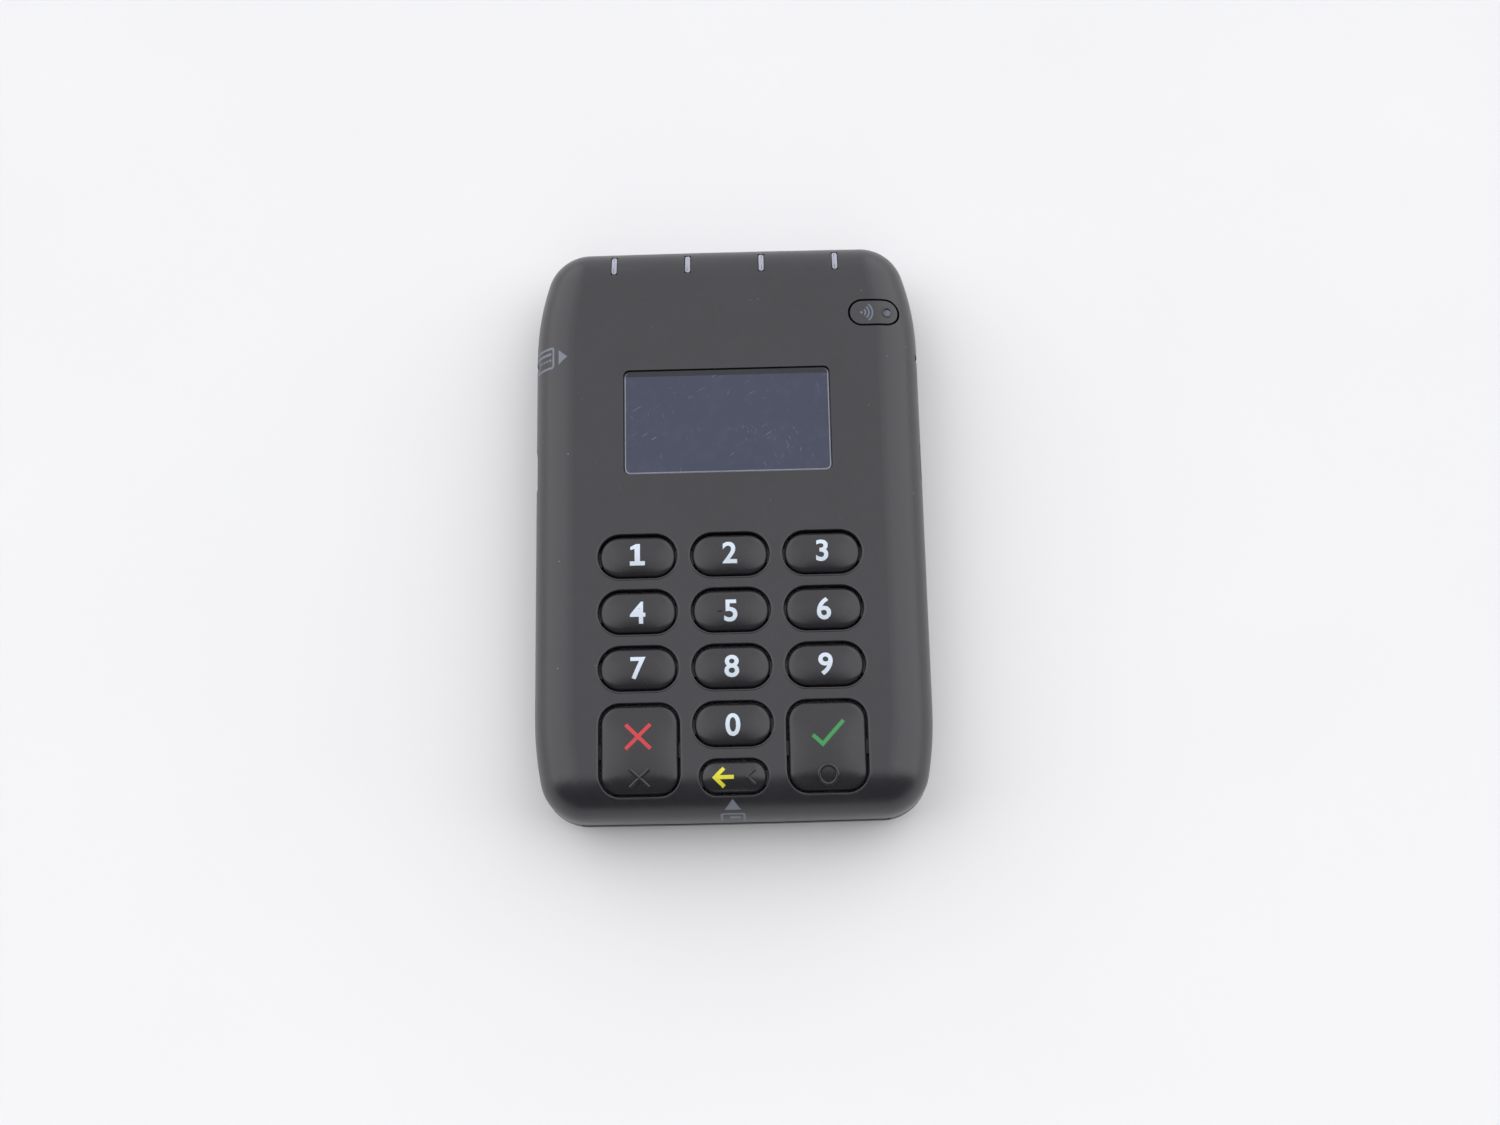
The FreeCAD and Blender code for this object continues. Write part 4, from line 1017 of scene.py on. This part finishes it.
@dataclass
class Face:
    """Outside of the front cover: flat in the middle, rolled over all round."""

    roll: float = 7.6
    half_width: float = field(init=False)
    half_length: float = field(init=False)
    level: float = field(init=False)

    def __post_init__(self) -> None:
        """Read the cover's extent from its CAD node."""
        self.half_width, self.half_length, self.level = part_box("front_cover")[1] / MM

    def height(self, x: float, y: float) -> float:
        """Height of the face over a point."""
        drop = 0.0
        for place, half in ((x, self.half_width), (y, self.half_length)):
            past = min(max(0.0, abs(place) - half + self.roll), self.roll)
            drop += self.roll - math.sqrt(self.roll ** 2 - past ** 2)
        return self.level - drop

    def wrapped(self, x: float, y: float, lift: float) -> Vector:
        """Place of a point whose x and y are lengths measured along the surface.

        Args:
            x: length across, from the middle.
            y: length along, from the middle.
            lift: height above the surface.

        Returns:
            The place.
        """
        place = Vector((x, y, self.level))
        out = Vector((0.0, 0.0, 1.0))
        for axis, half in enumerate((self.half_width, self.half_length)):
            past = abs(place[axis]) - half + self.roll
            if past > 0:
                side = math.copysign(1.0, place[axis])
                angle = min(past / self.roll, math.pi / 2)
                place[axis] = side * (half - self.roll * (1 - math.sin(angle)))
                place.z -= self.roll * (1 - math.cos(angle)) + past - angle * self.roll
                out = Vector((0.0, 0.0, math.cos(angle)))
                out[axis] = side * math.sin(angle)
        return place + out * lift


@dataclass
class KeyCap:
    """One domed key with the tabs and the stem under it."""

    node: str
    face: Face
    corner: Optional[float] = None
    rise: float = 0.5
    slim: float = 0.05
    edge_width: float = 0.9
    edge_drop: float = 0.42
    crown: float = 0.75
    skirt_floor: float = 15.1
    tab_reach: float = 1.05
    tab_depth: float = 2.6
    tab_top: float = 15.9
    stem_radius: float = 1.9
    stem_floor: float = 14.6

    def __post_init__(self) -> None:
        """Read the key's place and size from its CAD node."""
        low, high = (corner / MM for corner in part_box(self.node))
        self.x, self.y = (low.x + high.x) / 2, (low.y + high.y) / 2
        self.width = high.x - low.x - 2 * (self.tab_reach + self.slim)
        self.depth = high.y - low.y - 2 * self.slim
        if self.corner is None:
            self.corner = min(self.width, self.depth) / 2
        self.body = f"{self.node}_cap"

    def inside(self, x: float, y: float) -> float:
        """Distance of a point from the outline, inwards."""
        along = abs(x) - self.width / 2 + self.corner
        across = abs(y) - self.depth / 2 + self.corner
        outer = math.hypot(max(along, 0.0), max(across, 0.0))
        return self.corner - outer - min(max(along, across), 0.0)

    def top(self, x: float, y: float) -> float:
        """Height of the key's surface over a point measured from its middle."""
        near = min(max(0.0, 1 - self.inside(x, y) / self.edge_width), 1.0)
        edge = self.edge_drop * (1 - math.sqrt(1 - near ** 2))
        dome = self.crown * (1 - (1 - (2 * x / self.width) ** 2) * (1 - (2 * y / self.depth) ** 2))
        return self.face.height(self.x + x, self.y + y) + self.rise - edge - dome

    def onto(self, x: float, y: float, lift: float) -> Vector:
        """Place on the key's surface of a point measured from its middle."""
        return Vector((self.x + x, self.y + y, self.top(x, y) + lift))

    def shell(self) -> bmesh.types.BMesh:
        """Domed cap, closed underneath."""
        half = min(self.width, self.depth) / 2
        insets = [self.edge_width * (1 - math.cos(angle)) for angle in quarter_turn(8)]
        insets += [self.edge_width + (half - self.edge_width) * i / 7 for i in range(1, 8)]
        work = bmesh.new()
        rings = []
        for inset in insets:
            ring = rounded_ring(self.width - 2 * inset, self.depth - 2 * inset,
                                max(self.corner - inset, 0.0))
            rings.append([work.verts.new(self.onto(x, y, 0.0)) for x, y in ring])
        skirt = [work.verts.new((v.co.x, v.co.y, self.skirt_floor)) for v in rings[0]]
        for low, high in zip([skirt] + rings, rings):
            bridge(work, low, high)
        work.faces.new(skirt[::-1])
        bmesh.ops.remove_doubles(work, verts=work.verts, dist=1e-4)
        return work

    def mesh(self) -> bpy.types.Mesh:
        """Cap, tabs and stem as one mesh."""
        tabs = rounded_ring(self.width + 2 * self.tab_reach, self.tab_depth, 0.3, 4, 2)
        bar = prism(tabs, ((self.skirt_floor, 0.0), (self.tab_top, 0.0)))
        stem = lathe(((0, self.stem_floor), (self.stem_radius, self.stem_floor),
                      (self.stem_radius, self.skirt_floor + 0.1), (0, self.skirt_floor + 0.1)), 32)
        for part in (bar, stem):
            bmesh.ops.translate(part, vec=(self.x, self.y, 0), verts=part.verts)
        return to_mesh(join((self.shell(), bar, stem)), f"{self.node}_dome")


@dataclass
class Keypad:
    """All the keys with their printed and raised marks."""

    shop: Workshop
    face: Face
    wide_corner: float = 3.3
    digit_height: float = 4.0
    digit_weight: float = 0.11
    row_shifts: tuple[float, float, float] = (0.22, -0.2, 0.0)
    zero_shift: float = -0.2
    nib_place: Point = (-1.9, -0.2)
    nib_radius: float = 0.2
    arrow_place: Point = (-1.9, -0.15)
    chevron_place: Point = (2.9, -0.1)
    cross_place: Point = (-0.2, 2.2)
    raised_cross_place: Point = (0.0, -5.05)
    tick_place: Point = (0.25, 2.15)
    raised_ring_place: Point = (0.0, -5.1)
    mark_radius: float = 0.36
    rib_sink: float = 0.1
    rim_radius: float = 0.2
    rim_out: float = 0.1
    rim_sink: float = 0.13
    key_gap: float = 0.5
    skin: float = 0.02

    def build(self) -> None:
        """Make every key."""
        for digit in range(10):
            key = self.cap(f"key_{digit}")
            shape = (FlatShape.outlines([self.one()]) if digit == 1 else
                     FlatShape.character(str(digit), self.digit_height, self.digit_weight))
            shift = self.row_shifts[(digit - 1) // 3] if digit else self.zero_shift
            self.print_on(key, shape, Ink.WHITE, (0.0, shift), "digit")
            if digit == 5:
                self.raise_on(key, [(-0.4, 0.0), (0.4, 0.0)], False, self.nib_place, self.nib_radius, "nib")
        self.build_clear(self.cap("key_clear"))
        self.build_cancel(self.cap("key_cancel", self.wide_corner))
        self.build_enter(self.cap("key_enter", self.wide_corner))

    @staticmethod
    def one() -> list[Point]:
        """The digit 1 with a flag and a slab base."""
        return [(-1.35, -2.0), (1.35, -2.0), (1.35, -1.25), (0.48, -1.25), (0.48, 2.0), (-0.25, 2.0),
                (-1.25, 1.45), (-1.25, 0.85), (-0.48, 1.05), (-0.48, -1.25), (-1.35, -1.25)]

    def cap(self, node: str, corner: Optional[float] = None) -> KeyCap:
        """Make one key's cap and the rolled rim of its opening."""
        key = KeyCap(node, self.face, corner)
        self.shop.add(key.mesh(), f"{node}_dome", KeyPlastic(), key.body, "key_rubber", (node,))
        grown = self.key_gap + self.rim_out
        path = [Vector((key.x + x, key.y + y, self.face.height(key.x + x, key.y + y) - self.rim_sink))
                for x, y in rounded_ring(key.width + 2 * grown, key.depth + 2 * grown, key.corner + grown)]
        self.shop.sweep(path, True, self.rim_radius, CasingPlastic(), f"{node}_rim")
        return key

    def print_on(self, key: KeyCap, shape: FlatShape, ink: Ink, at: Point, name: str) -> None:
        """Lay a printed figure on a key.

        Args:
            key: the key.
            shape: the figure about its own middle.
            ink: its colour.
            at: where its middle goes, from the key's middle.
            name: ending of the piece's name.
        """
        def onto(x: float, y: float, lift: float) -> Vector:
            """Place on the key."""
            return key.onto(at[0] + x, at[1] + y, lift)

        self.shop.lay(shape, onto, 0.5, self.skin, f"{key.node}_{name}", ink, key.body, "key_rubber")

    def raise_on(self, key: KeyCap, path: Sequence[Point], closed: bool, at: Point, radius: float,
                 name: str) -> None:
        """Raise a rib along a path on a key.

        Args:
            key: the key.
            path: points about the mark's own middle.
            closed: whether the path ends where it starts.
            at: where its middle goes, from the key's middle.
            radius: radius of the rib's section.
            name: ending of the piece's name.
        """
        points = [key.onto(at[0] + x, at[1] + y, -radius * self.rib_sink) for x, y in path]
        self.shop.sweep(points, closed, radius, KeyPlastic(), f"{key.node}_{name}", key.body, "key_rubber")

    def build_clear(self, key: KeyCap) -> None:
        """Arrow to the left, and a raised chevron."""
        arrow = [(-1.9, 0.0), (-0.05, 1.82), (0.43, 1.34), (-0.58, 0.34), (1.9, 0.34), (1.9, -0.34),
                 (-0.58, -0.34), (0.43, -1.34), (-0.05, -1.82)]
        self.print_on(key, FlatShape.outlines([arrow]), Ink.YELLOW, self.arrow_place, "arrow")
        chevron = [(0.7, 1.25), (0.0, 0.62), (-0.7, 0.0), (0.0, -0.62), (0.7, -1.25)]
        self.raise_on(key, chevron, False, self.chevron_place, self.mark_radius, "chevron")

    def build_cancel(self, key: KeyCap) -> None:
        """Cross, and a raised cross."""
        reach, half = 2.4, 0.33
        cross = []
        for turn in range(4):
            spin = Matrix.Rotation(math.radians(45 + 90 * turn), 2)
            length = reach * math.sqrt(2) - half
            cross += [tuple(spin @ Vector(p)) for p in ((length, -half), (length, half), (half, half))]
        self.print_on(key, FlatShape.outlines([cross]), Ink.RED, self.cross_place, "cross")
        for side in (-1, 1):
            bar = [(side * -1.65 * i, -1.5 * i) for i in (1, 0.5, 0, -0.5, -1)]
            self.raise_on(key, bar, False, self.raised_cross_place, self.mark_radius,
                          f"raised_bar_{(side + 3) // 2}")

    def build_enter(self, key: KeyCap) -> None:
        """Tick, and a raised ring."""
        tick = stroke([(-2.75, -0.35), (-1.05, -2.0), (2.65, 2.15)], 0.68)
        self.print_on(key, FlatShape.outlines([tick]), Ink.GREEN, self.tick_place, "tick")
        ring = arc((0.0, 0.0), 1.6, 0, 360, 48)[:-1]
        self.raise_on(key, ring, True, self.raised_ring_place, self.mark_radius, "raised_ring")


@dataclass
class Guides:
    """Printed guides on the casing that show where a card goes."""

    shop: Workshop
    face: Face
    skin: float = 0.02
    line: float = 0.42
    swipe_arrow_place: Point = (-30.05, 31.32)
    swipe_card_place: Point = (-35.05, 31.45)
    chip_arrow_place: Point = (-0.35, -52.6)
    chip_card_place: Point = (-0.35, -57.1)

    def build(self) -> None:
        """Print the guide for the stripe at the left and the one for the chip at the lower end."""
        self.lay("swipe_arrow", [[(-0.85, -1.4), (0.85, 0.0), (-0.85, 1.4)]], self.swipe_arrow_place)
        bar = [(-2.5, 0.6), (2.5, 0.6), (2.5, 1.1), (-2.5, 1.1)]
        dots = [self.box((2.25 - 0.8 * i, -0.35), 0.5, 0.4) for i in range(5)]
        self.lay("swipe_card", [stroke(self.open_card(), self.line), bar, *dots], self.swipe_card_place)
        self.lay("chip_arrow", [[(-1.475, -1.05), (1.475, -1.05), (0.0, 1.35)]], self.chip_arrow_place)
        card = self.card(4.4, 5.0)
        patch = rounded_ring(1.9, 1.0, 0.3, 4, 1)
        self.lay("chip_card", [*card, [(x + 0.4, y + 1.0) for x, y in patch]], self.chip_card_place)

    @staticmethod
    def open_card() -> list[Point]:
        """Middle line of a card's outline that stops on both sides of the swipe slot."""
        corners = [((-2.57, 1.495), 180, 90), ((2.57, 1.495), 90, 0), ((2.57, -1.495), 0, -90),
                   ((-2.57, -1.495), -90, -180)]
        path = [(-2.99, 0.75)]
        for middle, start, end in corners:
            path += arc(middle, 0.42, start, end, 4)
        return path + [(-2.99, -1.25)]

    def card(self, width: float, depth: float) -> list[list[Point]]:
        """Outline of a card: two nested round-cornered loops."""
        return [rounded_ring(width, depth, 0.55, 5, 1),
                rounded_ring(width - 2 * self.line, depth - 2 * self.line, 0.3, 5, 1)]

    @staticmethod
    def box(middle: Point, width: float, depth: float) -> list[Point]:
        """Plain rectangle."""
        return [(middle[0] + sx * width / 2, middle[1] + sy * depth / 2)
                for sx, sy in ((1, 1), (-1, 1), (-1, -1), (1, -1))]

    def lay(self, name: str, loops: list, at: Point) -> None:
        """Print a figure at a place measured along the surface."""
        def onto(x: float, y: float, lift: float) -> Vector:
            """Place on the casing."""
            return self.face.wrapped(at[0] + x, at[1] + y, lift)

        self.shop.lay(FlatShape.outlines(loops), onto, 0.4, self.skin, name, Ink.GREY)


@dataclass
class Window:
    """Display window with its bevelled edge, and what shows behind it."""

    shop: Workshop
    corner: float = 1.0
    bevel: float = 0.32

    def build(self) -> None:
        """Make the window and its edge, and dress the display."""
        low, high = (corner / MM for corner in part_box("display_lens"))
        middle = ((low.x + high.x) / 2, (low.y + high.y) / 2)

        def ring(inset: float) -> list[Point]:
            """Outline of the plate moved inwards."""
            points = rounded_ring(high.x - low.x - 2 * inset, high.y - low.y - 2 * inset,
                                  self.corner - inset / 2, 8, 4)
            return [(x + middle[0], y + middle[1]) for x, y in points]

        plate = prism(ring(self.bevel), ((low.z, 0.0), (high.z, 0.0)))
        mesh = to_mesh(plate, "display_window", 50.0)
        self.shop.add(mesh, mesh.name, SmokedWindow(), slot="lens_clear", stands_for=("display_lens",))
        work = bmesh.new()
        steps = [(low.z, self.bevel), (low.z, 0.0)]
        for angle in quarter_turn(5):
            steps.append((high.z - self.bevel * (1 - math.sin(angle)), self.bevel * (1 - math.cos(angle))))
        rings = [[work.verts.new((x, y, z)) for x, y in ring(inset)] for z, inset in steps]
        for inner, outer in zip(rings, rings[1:] + rings[:1]):
            bridge(work, inner, outer)
        bmesh.ops.recalc_face_normals(work, faces=work.faces)
        self.shop.add(to_mesh(work, "window_edge", 50.0), "window_edge", FrostedEdge(), slot="lens_clear")
        self.shop.dress(DisplayPanel(), "display_module")
        self.shop.dress(MouldedBlack(), "display_frame")
        self.shop.dress(SoftRubber("gasket_foam", (0.02, 0.02, 0.021)), "lens_gasket")


@dataclass
class RadioButton:
    """Button at the upper right: its generic wave mark and its small status window."""

    shop: Workshop
    face: Face
    plastic: KeyPlastic = KeyPlastic("button_plastic", (0.030, 0.030, 0.033), 0.42)
    mark_shift: float = -1.3
    skin: float = 0.02
    ring_radius: float = 0.86
    ring_thickness: float = 0.2
    ring_sink: float = 0.2

    def build(self) -> None:
        """Dress the button and add its mark and window."""
        low, high = (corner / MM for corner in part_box("radio_button"))
        self.x, self.y = (low.x + high.x) / 2, (low.y + high.y) / 2
        self.shop.dress(self.plastic, "radio_button")
        loops = [stroke(arc((-1.0, 0.0), radius, -50, 50, 12), 0.3) for radius in (0.75, 1.4, 2.05)]
        loops.append(arc((-1.0, 0.0), 0.24, 0, 345, 12))

        def onto(x: float, y: float, lift: float) -> Vector:
            """Place on the button."""
            place = (self.x + self.mark_shift + x, self.y + y)
            return Vector((*place, self.face.height(*place) + lift))

        self.shop.lay(FlatShape.outlines(loops), onto, 0.4, self.skin, "radio_waves", Ink.BLUE,
                      "radio_button_cap", "key_rubber")
        self.shop.dress(MilkyGuide("status_window_milk", (0.13, 0.14, 0.19)), "button_light_window")
        low, high = (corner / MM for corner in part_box("button_light_window"))
        middle = (low + high) / 2
        path = [Vector((x, y, self.face.height(x, y) - self.ring_sink))
                for x, y in arc((middle.x, middle.y), self.ring_radius, 0, 352.5, 47)]
        self.shop.sweep(path, True, self.ring_thickness, self.plastic, "status_window_ring",
                        "radio_button_cap", "key_rubber")


@dataclass
class Lights:
    """Four light guides in the upper end, with rounded rims."""

    shop: Workshop
    face: Face
    sink: float = 0.03
    rim: float = 0.16

    def build(self) -> None:
        """Make a guide for each CAD guide."""
        for number in range(1, 5):
            node = f"light_guide_{number}"
            low, high = (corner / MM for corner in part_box(node))
            middle, width, depth = (low + high) / 2, high.x - low.x, high.y - low.y
            steps = [(self.rim * (1 - math.cos(angle)), angle) for angle in quarter_turn(5)]
            work = bmesh.new()
            rings = []
            for inset, angle in steps + [(width * 0.35, math.pi / 2)]:
                drop = self.sink + self.rim * (1 - math.sin(angle))
                points = rounded_ring(width - 2 * inset, depth - 2 * inset, width / 2 - inset, 8, 8)
                rings.append([work.verts.new((
                    middle.x + x, middle.y + y, self.face.height(middle.x + x, middle.y + y) - drop,
                )) for x, y in points])
            foot = [work.verts.new((v.co.x, v.co.y, low.z)) for v in rings[0]]
            for lower, upper in zip([foot] + rings, rings):
                bridge(work, lower, upper)
            bmesh.ops.contextual_create(work, geom=foot)
            bmesh.ops.contextual_create(work, geom=rings[-1])
            bmesh.ops.remove_doubles(work, verts=work.verts, dist=1e-4)
            bmesh.ops.triangulate(work, faces=[f for f in work.faces if len(f.verts) > 4])
            bmesh.ops.recalc_face_normals(work, faces=work.faces)
            self.shop.add(to_mesh(work, f"light_bar_{number}", 40.0), f"light_bar_{number}", MilkyGuide(),
                          slot="light_pipe", stands_for=(node,))


@dataclass
class Underside:
    """Screws, feet and label under the casing, set in place by one tree."""

    shop: Workshop
    screw_radius: float = 1.85
    screw_low: float = 0.9
    screw_high: float = 1.8
    foot_radius: float = 3.6
    foot_high: float = 0.9

    def build(self) -> None:
        """Make the screws and feet and dress the label."""
        scatter = scatter_recipe()
        places = self.spread("case_screws", self.screw_radius)
        self.set_out(scatter, self.screw(), places, "case_screw_heads",
                     Metal("zinc_screw", (0.34, 0.34, 0.36), 0.34), "steel", "case_screws", 7)
        places = self.spread("rubber_feet", self.foot_radius)
        self.set_out(scatter, self.foot(), places, "foot_pads",
                     SoftRubber("foot_rubber", (0.030, 0.030, 0.031)), "foot_rubber", "rubber_feet", 3)
        self.shop.dress(LabelFilm(), "rating_label")

    @staticmethod
    def spread(node: str, radius: float) -> list[tuple[float, float, float]]:
        """Middles of the four round items of a CAD node, found from the node's own points."""
        low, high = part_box(node)
        inset = radius * MM
        return [(x, y, 0.0)
                for x in (low.x + inset, high.x - inset) for y in (low.y + inset, high.y - inset)]

    def screw(self) -> bpy.types.Mesh:
        """Head with a rounded rim and a cross recess, facing down."""
        r, low, high = self.screw_radius, self.screw_low, self.screw_high
        profile = [(0.0, low)] + [(r * 0.8 + 0.2 * r * math.sin(a), low + 0.3 * (1 - math.cos(a)))
                                  for a in quarter_turn(5)]
        head = to_mesh(lathe(profile + [(r, high), (0.0, high)], 40), "screw_head")
        arms = []
        for turn in range(4):
            spin = Matrix.Rotation(math.radians(90 * turn), 2)
            arms += [tuple(spin @ Vector(p)) for p in ((1.05, -0.2), (1.05, 0.2), (0.2, 0.2))]
        tool = to_mesh(prism(arms, ((low - 0.3, 0.0), (low + 0.55, 0.06))), "cross_recess")
        return carved(head, tool)

    def foot(self) -> bpy.types.Mesh:
        """Pad with a rounded rim and a shallow dish in its face."""
        r, high = self.foot_radius, self.foot_high
        dish = [(0.0, 0.08), (r * 0.55, 0.06), (r * 0.72, 0.0)]
        rim = [(r - 0.35 * (1 - math.sin(a)), 0.35 * (1 - math.cos(a))) for a in quarter_turn(5)]
        return to_mesh(lathe(dish + rim + [(r, high), (0.0, high)], 56), "foot_pad")

    def set_out(self, recipe: Recipe, pattern: bpy.types.Mesh, places: Sequence, name: str,
                finish: Finish, slot: str, node: str, seed: int) -> None:
        """Copy a pattern to some places as one piece.

        Args:
            recipe: the tree that copies it.
            pattern: the mesh of one item.
            places: where the items go, in metres.
            name: the piece's name.
            finish: its finish.
            slot: handed on to Workshop.add.
            node: the CAD node that it replaces.
            seed: seed for the items' turns.
        """
        points = bpy.data.meshes.new(name)
        points.from_pydata(places, [], [])
        model = bpy.data.objects.new("pattern", pattern)
        bpy.context.scene.collection.objects.link(model)
        mesh = recipe.run(bpy.data.objects.new(name, points),
                          {"Pattern": model, "Seed": seed, "Finish": self.shop.material(finish)}, name)
        bpy.data.objects.remove(model)
        self.shop.add(mesh, name, finish, slot=slot, stands_for=(node,))


def carved(solid: bpy.types.Mesh, tool: bpy.types.Mesh) -> bpy.types.Mesh:
    """One closed mesh with another cut out of it."""
    holders = [bpy.data.objects.new("carving", mesh) for mesh in (solid, tool)]
    for holder in holders:
        bpy.context.scene.collection.objects.link(holder)
    cut = holders[0].modifiers.new("cut", "BOOLEAN")
    cut.operation, cut.object, cut.solver = "DIFFERENCE", holders[1], "EXACT"
    graph = bpy.context.evaluated_depsgraph_get()
    result = bpy.data.meshes.new_from_object(holders[0].evaluated_get(graph))
    holders[0].modifiers.remove(cut)
    for holder in holders:
        bpy.data.objects.remove(holder)
    return result


@dataclass
class Casing:
    """Covers, side button, sockets and card reader parts."""

    shop: Workshop

    def build(self) -> None:
        """Dress the outside parts that keep their CAD shape."""
        self.shop.dress(CasingPlastic(), "front_cover")
        self.shop.dress(CasingPlastic("rear_plastic", (0.040, 0.040, 0.042), 0.52), "rear_cover")
        self.shop.dress(KeyPlastic("side_button_plastic", (0.028, 0.028, 0.030), 0.4), "power_button")
        self.shop.dress(Metal("socket_steel", (0.55, 0.55, 0.57), 0.28), "usb_connector")
        self.shop.dress(MouldedBlack(), "chip_card_connector")
        self.shop.dress(Metal("contact_gold", (0.83, 0.60, 0.26), 0.22, (0.06, 1.0, 1.0)),
                        "chip_card_contacts")
        self.shop.dress(Metal("head_steel", (0.60, 0.59, 0.57), 0.25, (0.06, 1.0, 1.0)),
                        "magnetic_head", "head_spring")


@dataclass
class Electronics:
    """Everything inside the casing."""

    shop: Workshop

    def build(self) -> None:
        """Dress the boards and what is on them."""
        shop = self.shop
        shop.dress(BoardLaminate(), "main_board", "top_board", "keypad_board", "radio_module")
        shop.dress(FlexFilm(), "board_flex", "display_flex")
        shop.dress(MouldedBlack(), "board_connector", "battery_connector", "buzzer")
        shop.dress(SoftRubber("keypad_silicone", (0.16, 0.16, 0.17), 0.55), "keypad_mat")
        shop.dress(Metal("dome_steel", (0.58, 0.58, 0.57), 0.24), "key_domes", "shield_can", "board_screws")
        shop.dress(Metal("cell_steel", (0.60, 0.60, 0.60), 0.2), "backup_cell")
        shop.dress(FoilPouch(), "battery")
        shop.dress(MouldedBlack(), "radio_switch", "power_switch")
        shop.dress(MilkyGuide("led_package", (0.55, 0.55, 0.48)), "indicator_leds")


# ------------------------------------------------------------------ studio


@dataclass
class Studio:
    """Floor, lights and camera."""

    camera_place: tuple[float, float, float] = (0.00702, -0.10299, 0.36227)
    camera_turn: tuple[float, float, float] = (15.275, 0.897, -1.196)
    half_view: float = math.atan(0.375)
    floor_half: float = 1.5
    near_level: float = 0.05
    sky_strength: float = 1.95
    sky_right: float = 2.0
    sky_left: float = 1.1
    sky_even: float = 0.5
    fill_place: tuple[float, float, float] = (0.0, -0.9, 0.8)
    fill_size: Point = (1.2, 1.0)
    fill_power: float = 2.9
    floor_levels: tuple[float, float] = (0.74, 0.765)

    def build(self) -> None:
        """Set everything up."""
        self.build_floor()
        self.build_world()
        self.add_light("fill", self.fill_place, *self.fill_size, self.fill_power)
        self.build_camera()

    def build_floor(self) -> None:
        """Pale floor with a faint mottle."""
        g = Graph("pale_floor")
        tone = g.noise(60.0, 2.0)
        base = g.mix(tone, *(grey(level) for level in self.floor_levels))
        material = g.coat({"Base Color": base, "Roughness": 0.7})
        mesh = bpy.data.meshes.new("floor")
        r = self.floor_half
        mesh.from_pydata([(-r, -r, 0), (r, -r, 0), (r, r, 0), (-r, r, 0)], [], [(0, 1, 2, 3)])
        mesh.materials.append(material)
        floor = bpy.data.objects.new("floor", mesh)
        bpy.context.scene.collection.objects.link(floor)

    def build_world(self) -> None:
        """Pale surroundings, dimmer low down on the near side."""
        world = bpy.data.worlds.new("studio")
        g = Graph("studio", world)
        direction = Wire(g, g.node("ShaderNodeTexCoord").outputs["Generated"])
        parts = g.node("ShaderNodeSeparateXYZ", {}, {0: direction})
        across, along, up = (Wire(g, parts.outputs[name]) for name in "XYZ")
        right = across.above(0.2, 0.16) * self.sky_right
        sides = right + (across * -1.0).above(0.25, 0.25) * self.sky_left
        light = along.above(-0.32, 0.28) * (up * 0.1 + sides + self.sky_even)
        tone = g.mix(light, grey(self.near_level), (0.97, 0.97, 1.0))
        back = g.node("ShaderNodeBackground", {}, {"Color": tone, "Strength": self.sky_strength})
        g.node("ShaderNodeOutputWorld", {}, {"Surface": Wire(g, back.outputs[0])})
        bpy.context.scene.world = world

    @staticmethod
    def add_light(name: str, place: tuple[float, float, float], width: float, depth: float,
                  power: float) -> None:
        """Add an area light that faces the object and leaves no reflection on it.

        Args:
            name: the light's name.
            place: where it is, in metres.
            width: its width in metres.
            depth: its depth in metres.
            power: its power in watts.
        """
        lamp = bpy.data.lights.new(name, "AREA")
        lamp.shape, lamp.size, lamp.size_y, lamp.energy = "RECTANGLE", width, depth, power
        holder = bpy.data.objects.new(name, lamp)
        holder.location = place
        holder.visible_glossy = False
        holder.rotation_euler = (-Vector(place)).to_track_quat("-Z", "Y").to_euler()
        bpy.context.scene.collection.objects.link(holder)

    def build_camera(self) -> None:
        """Camera over the lower end, looking down and forward."""
        lens = bpy.data.cameras.new("camera")
        lens.sensor_fit, lens.angle, lens.clip_start = "HORIZONTAL", 2 * self.half_view, 0.01
        camera = bpy.data.objects.new("camera", lens)
        camera.location = self.camera_place
        camera.rotation_euler = [math.radians(angle) for angle in self.camera_turn]
        bpy.context.scene.collection.objects.link(camera)
        bpy.context.scene.camera = camera


def main() -> None:
    """Build the terminal and the studio."""
    logging.basicConfig(level=logging.INFO, format="%(name)s: %(message)s")
    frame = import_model()
    shop = Workshop(frame["nodes"])
    face = Face()
    Casing(shop).build()
    Window(shop).build()
    Keypad(shop, face).build()
    RadioButton(shop, face).build()
    Lights(shop, face).build()
    Guides(shop, face).build()
    Underside(shop).build()
    Electronics(shop).build()
    Studio().build()
    bpy.context.scene.view_settings.view_transform = "Standard"


if __name__ == "__main__":
    main()
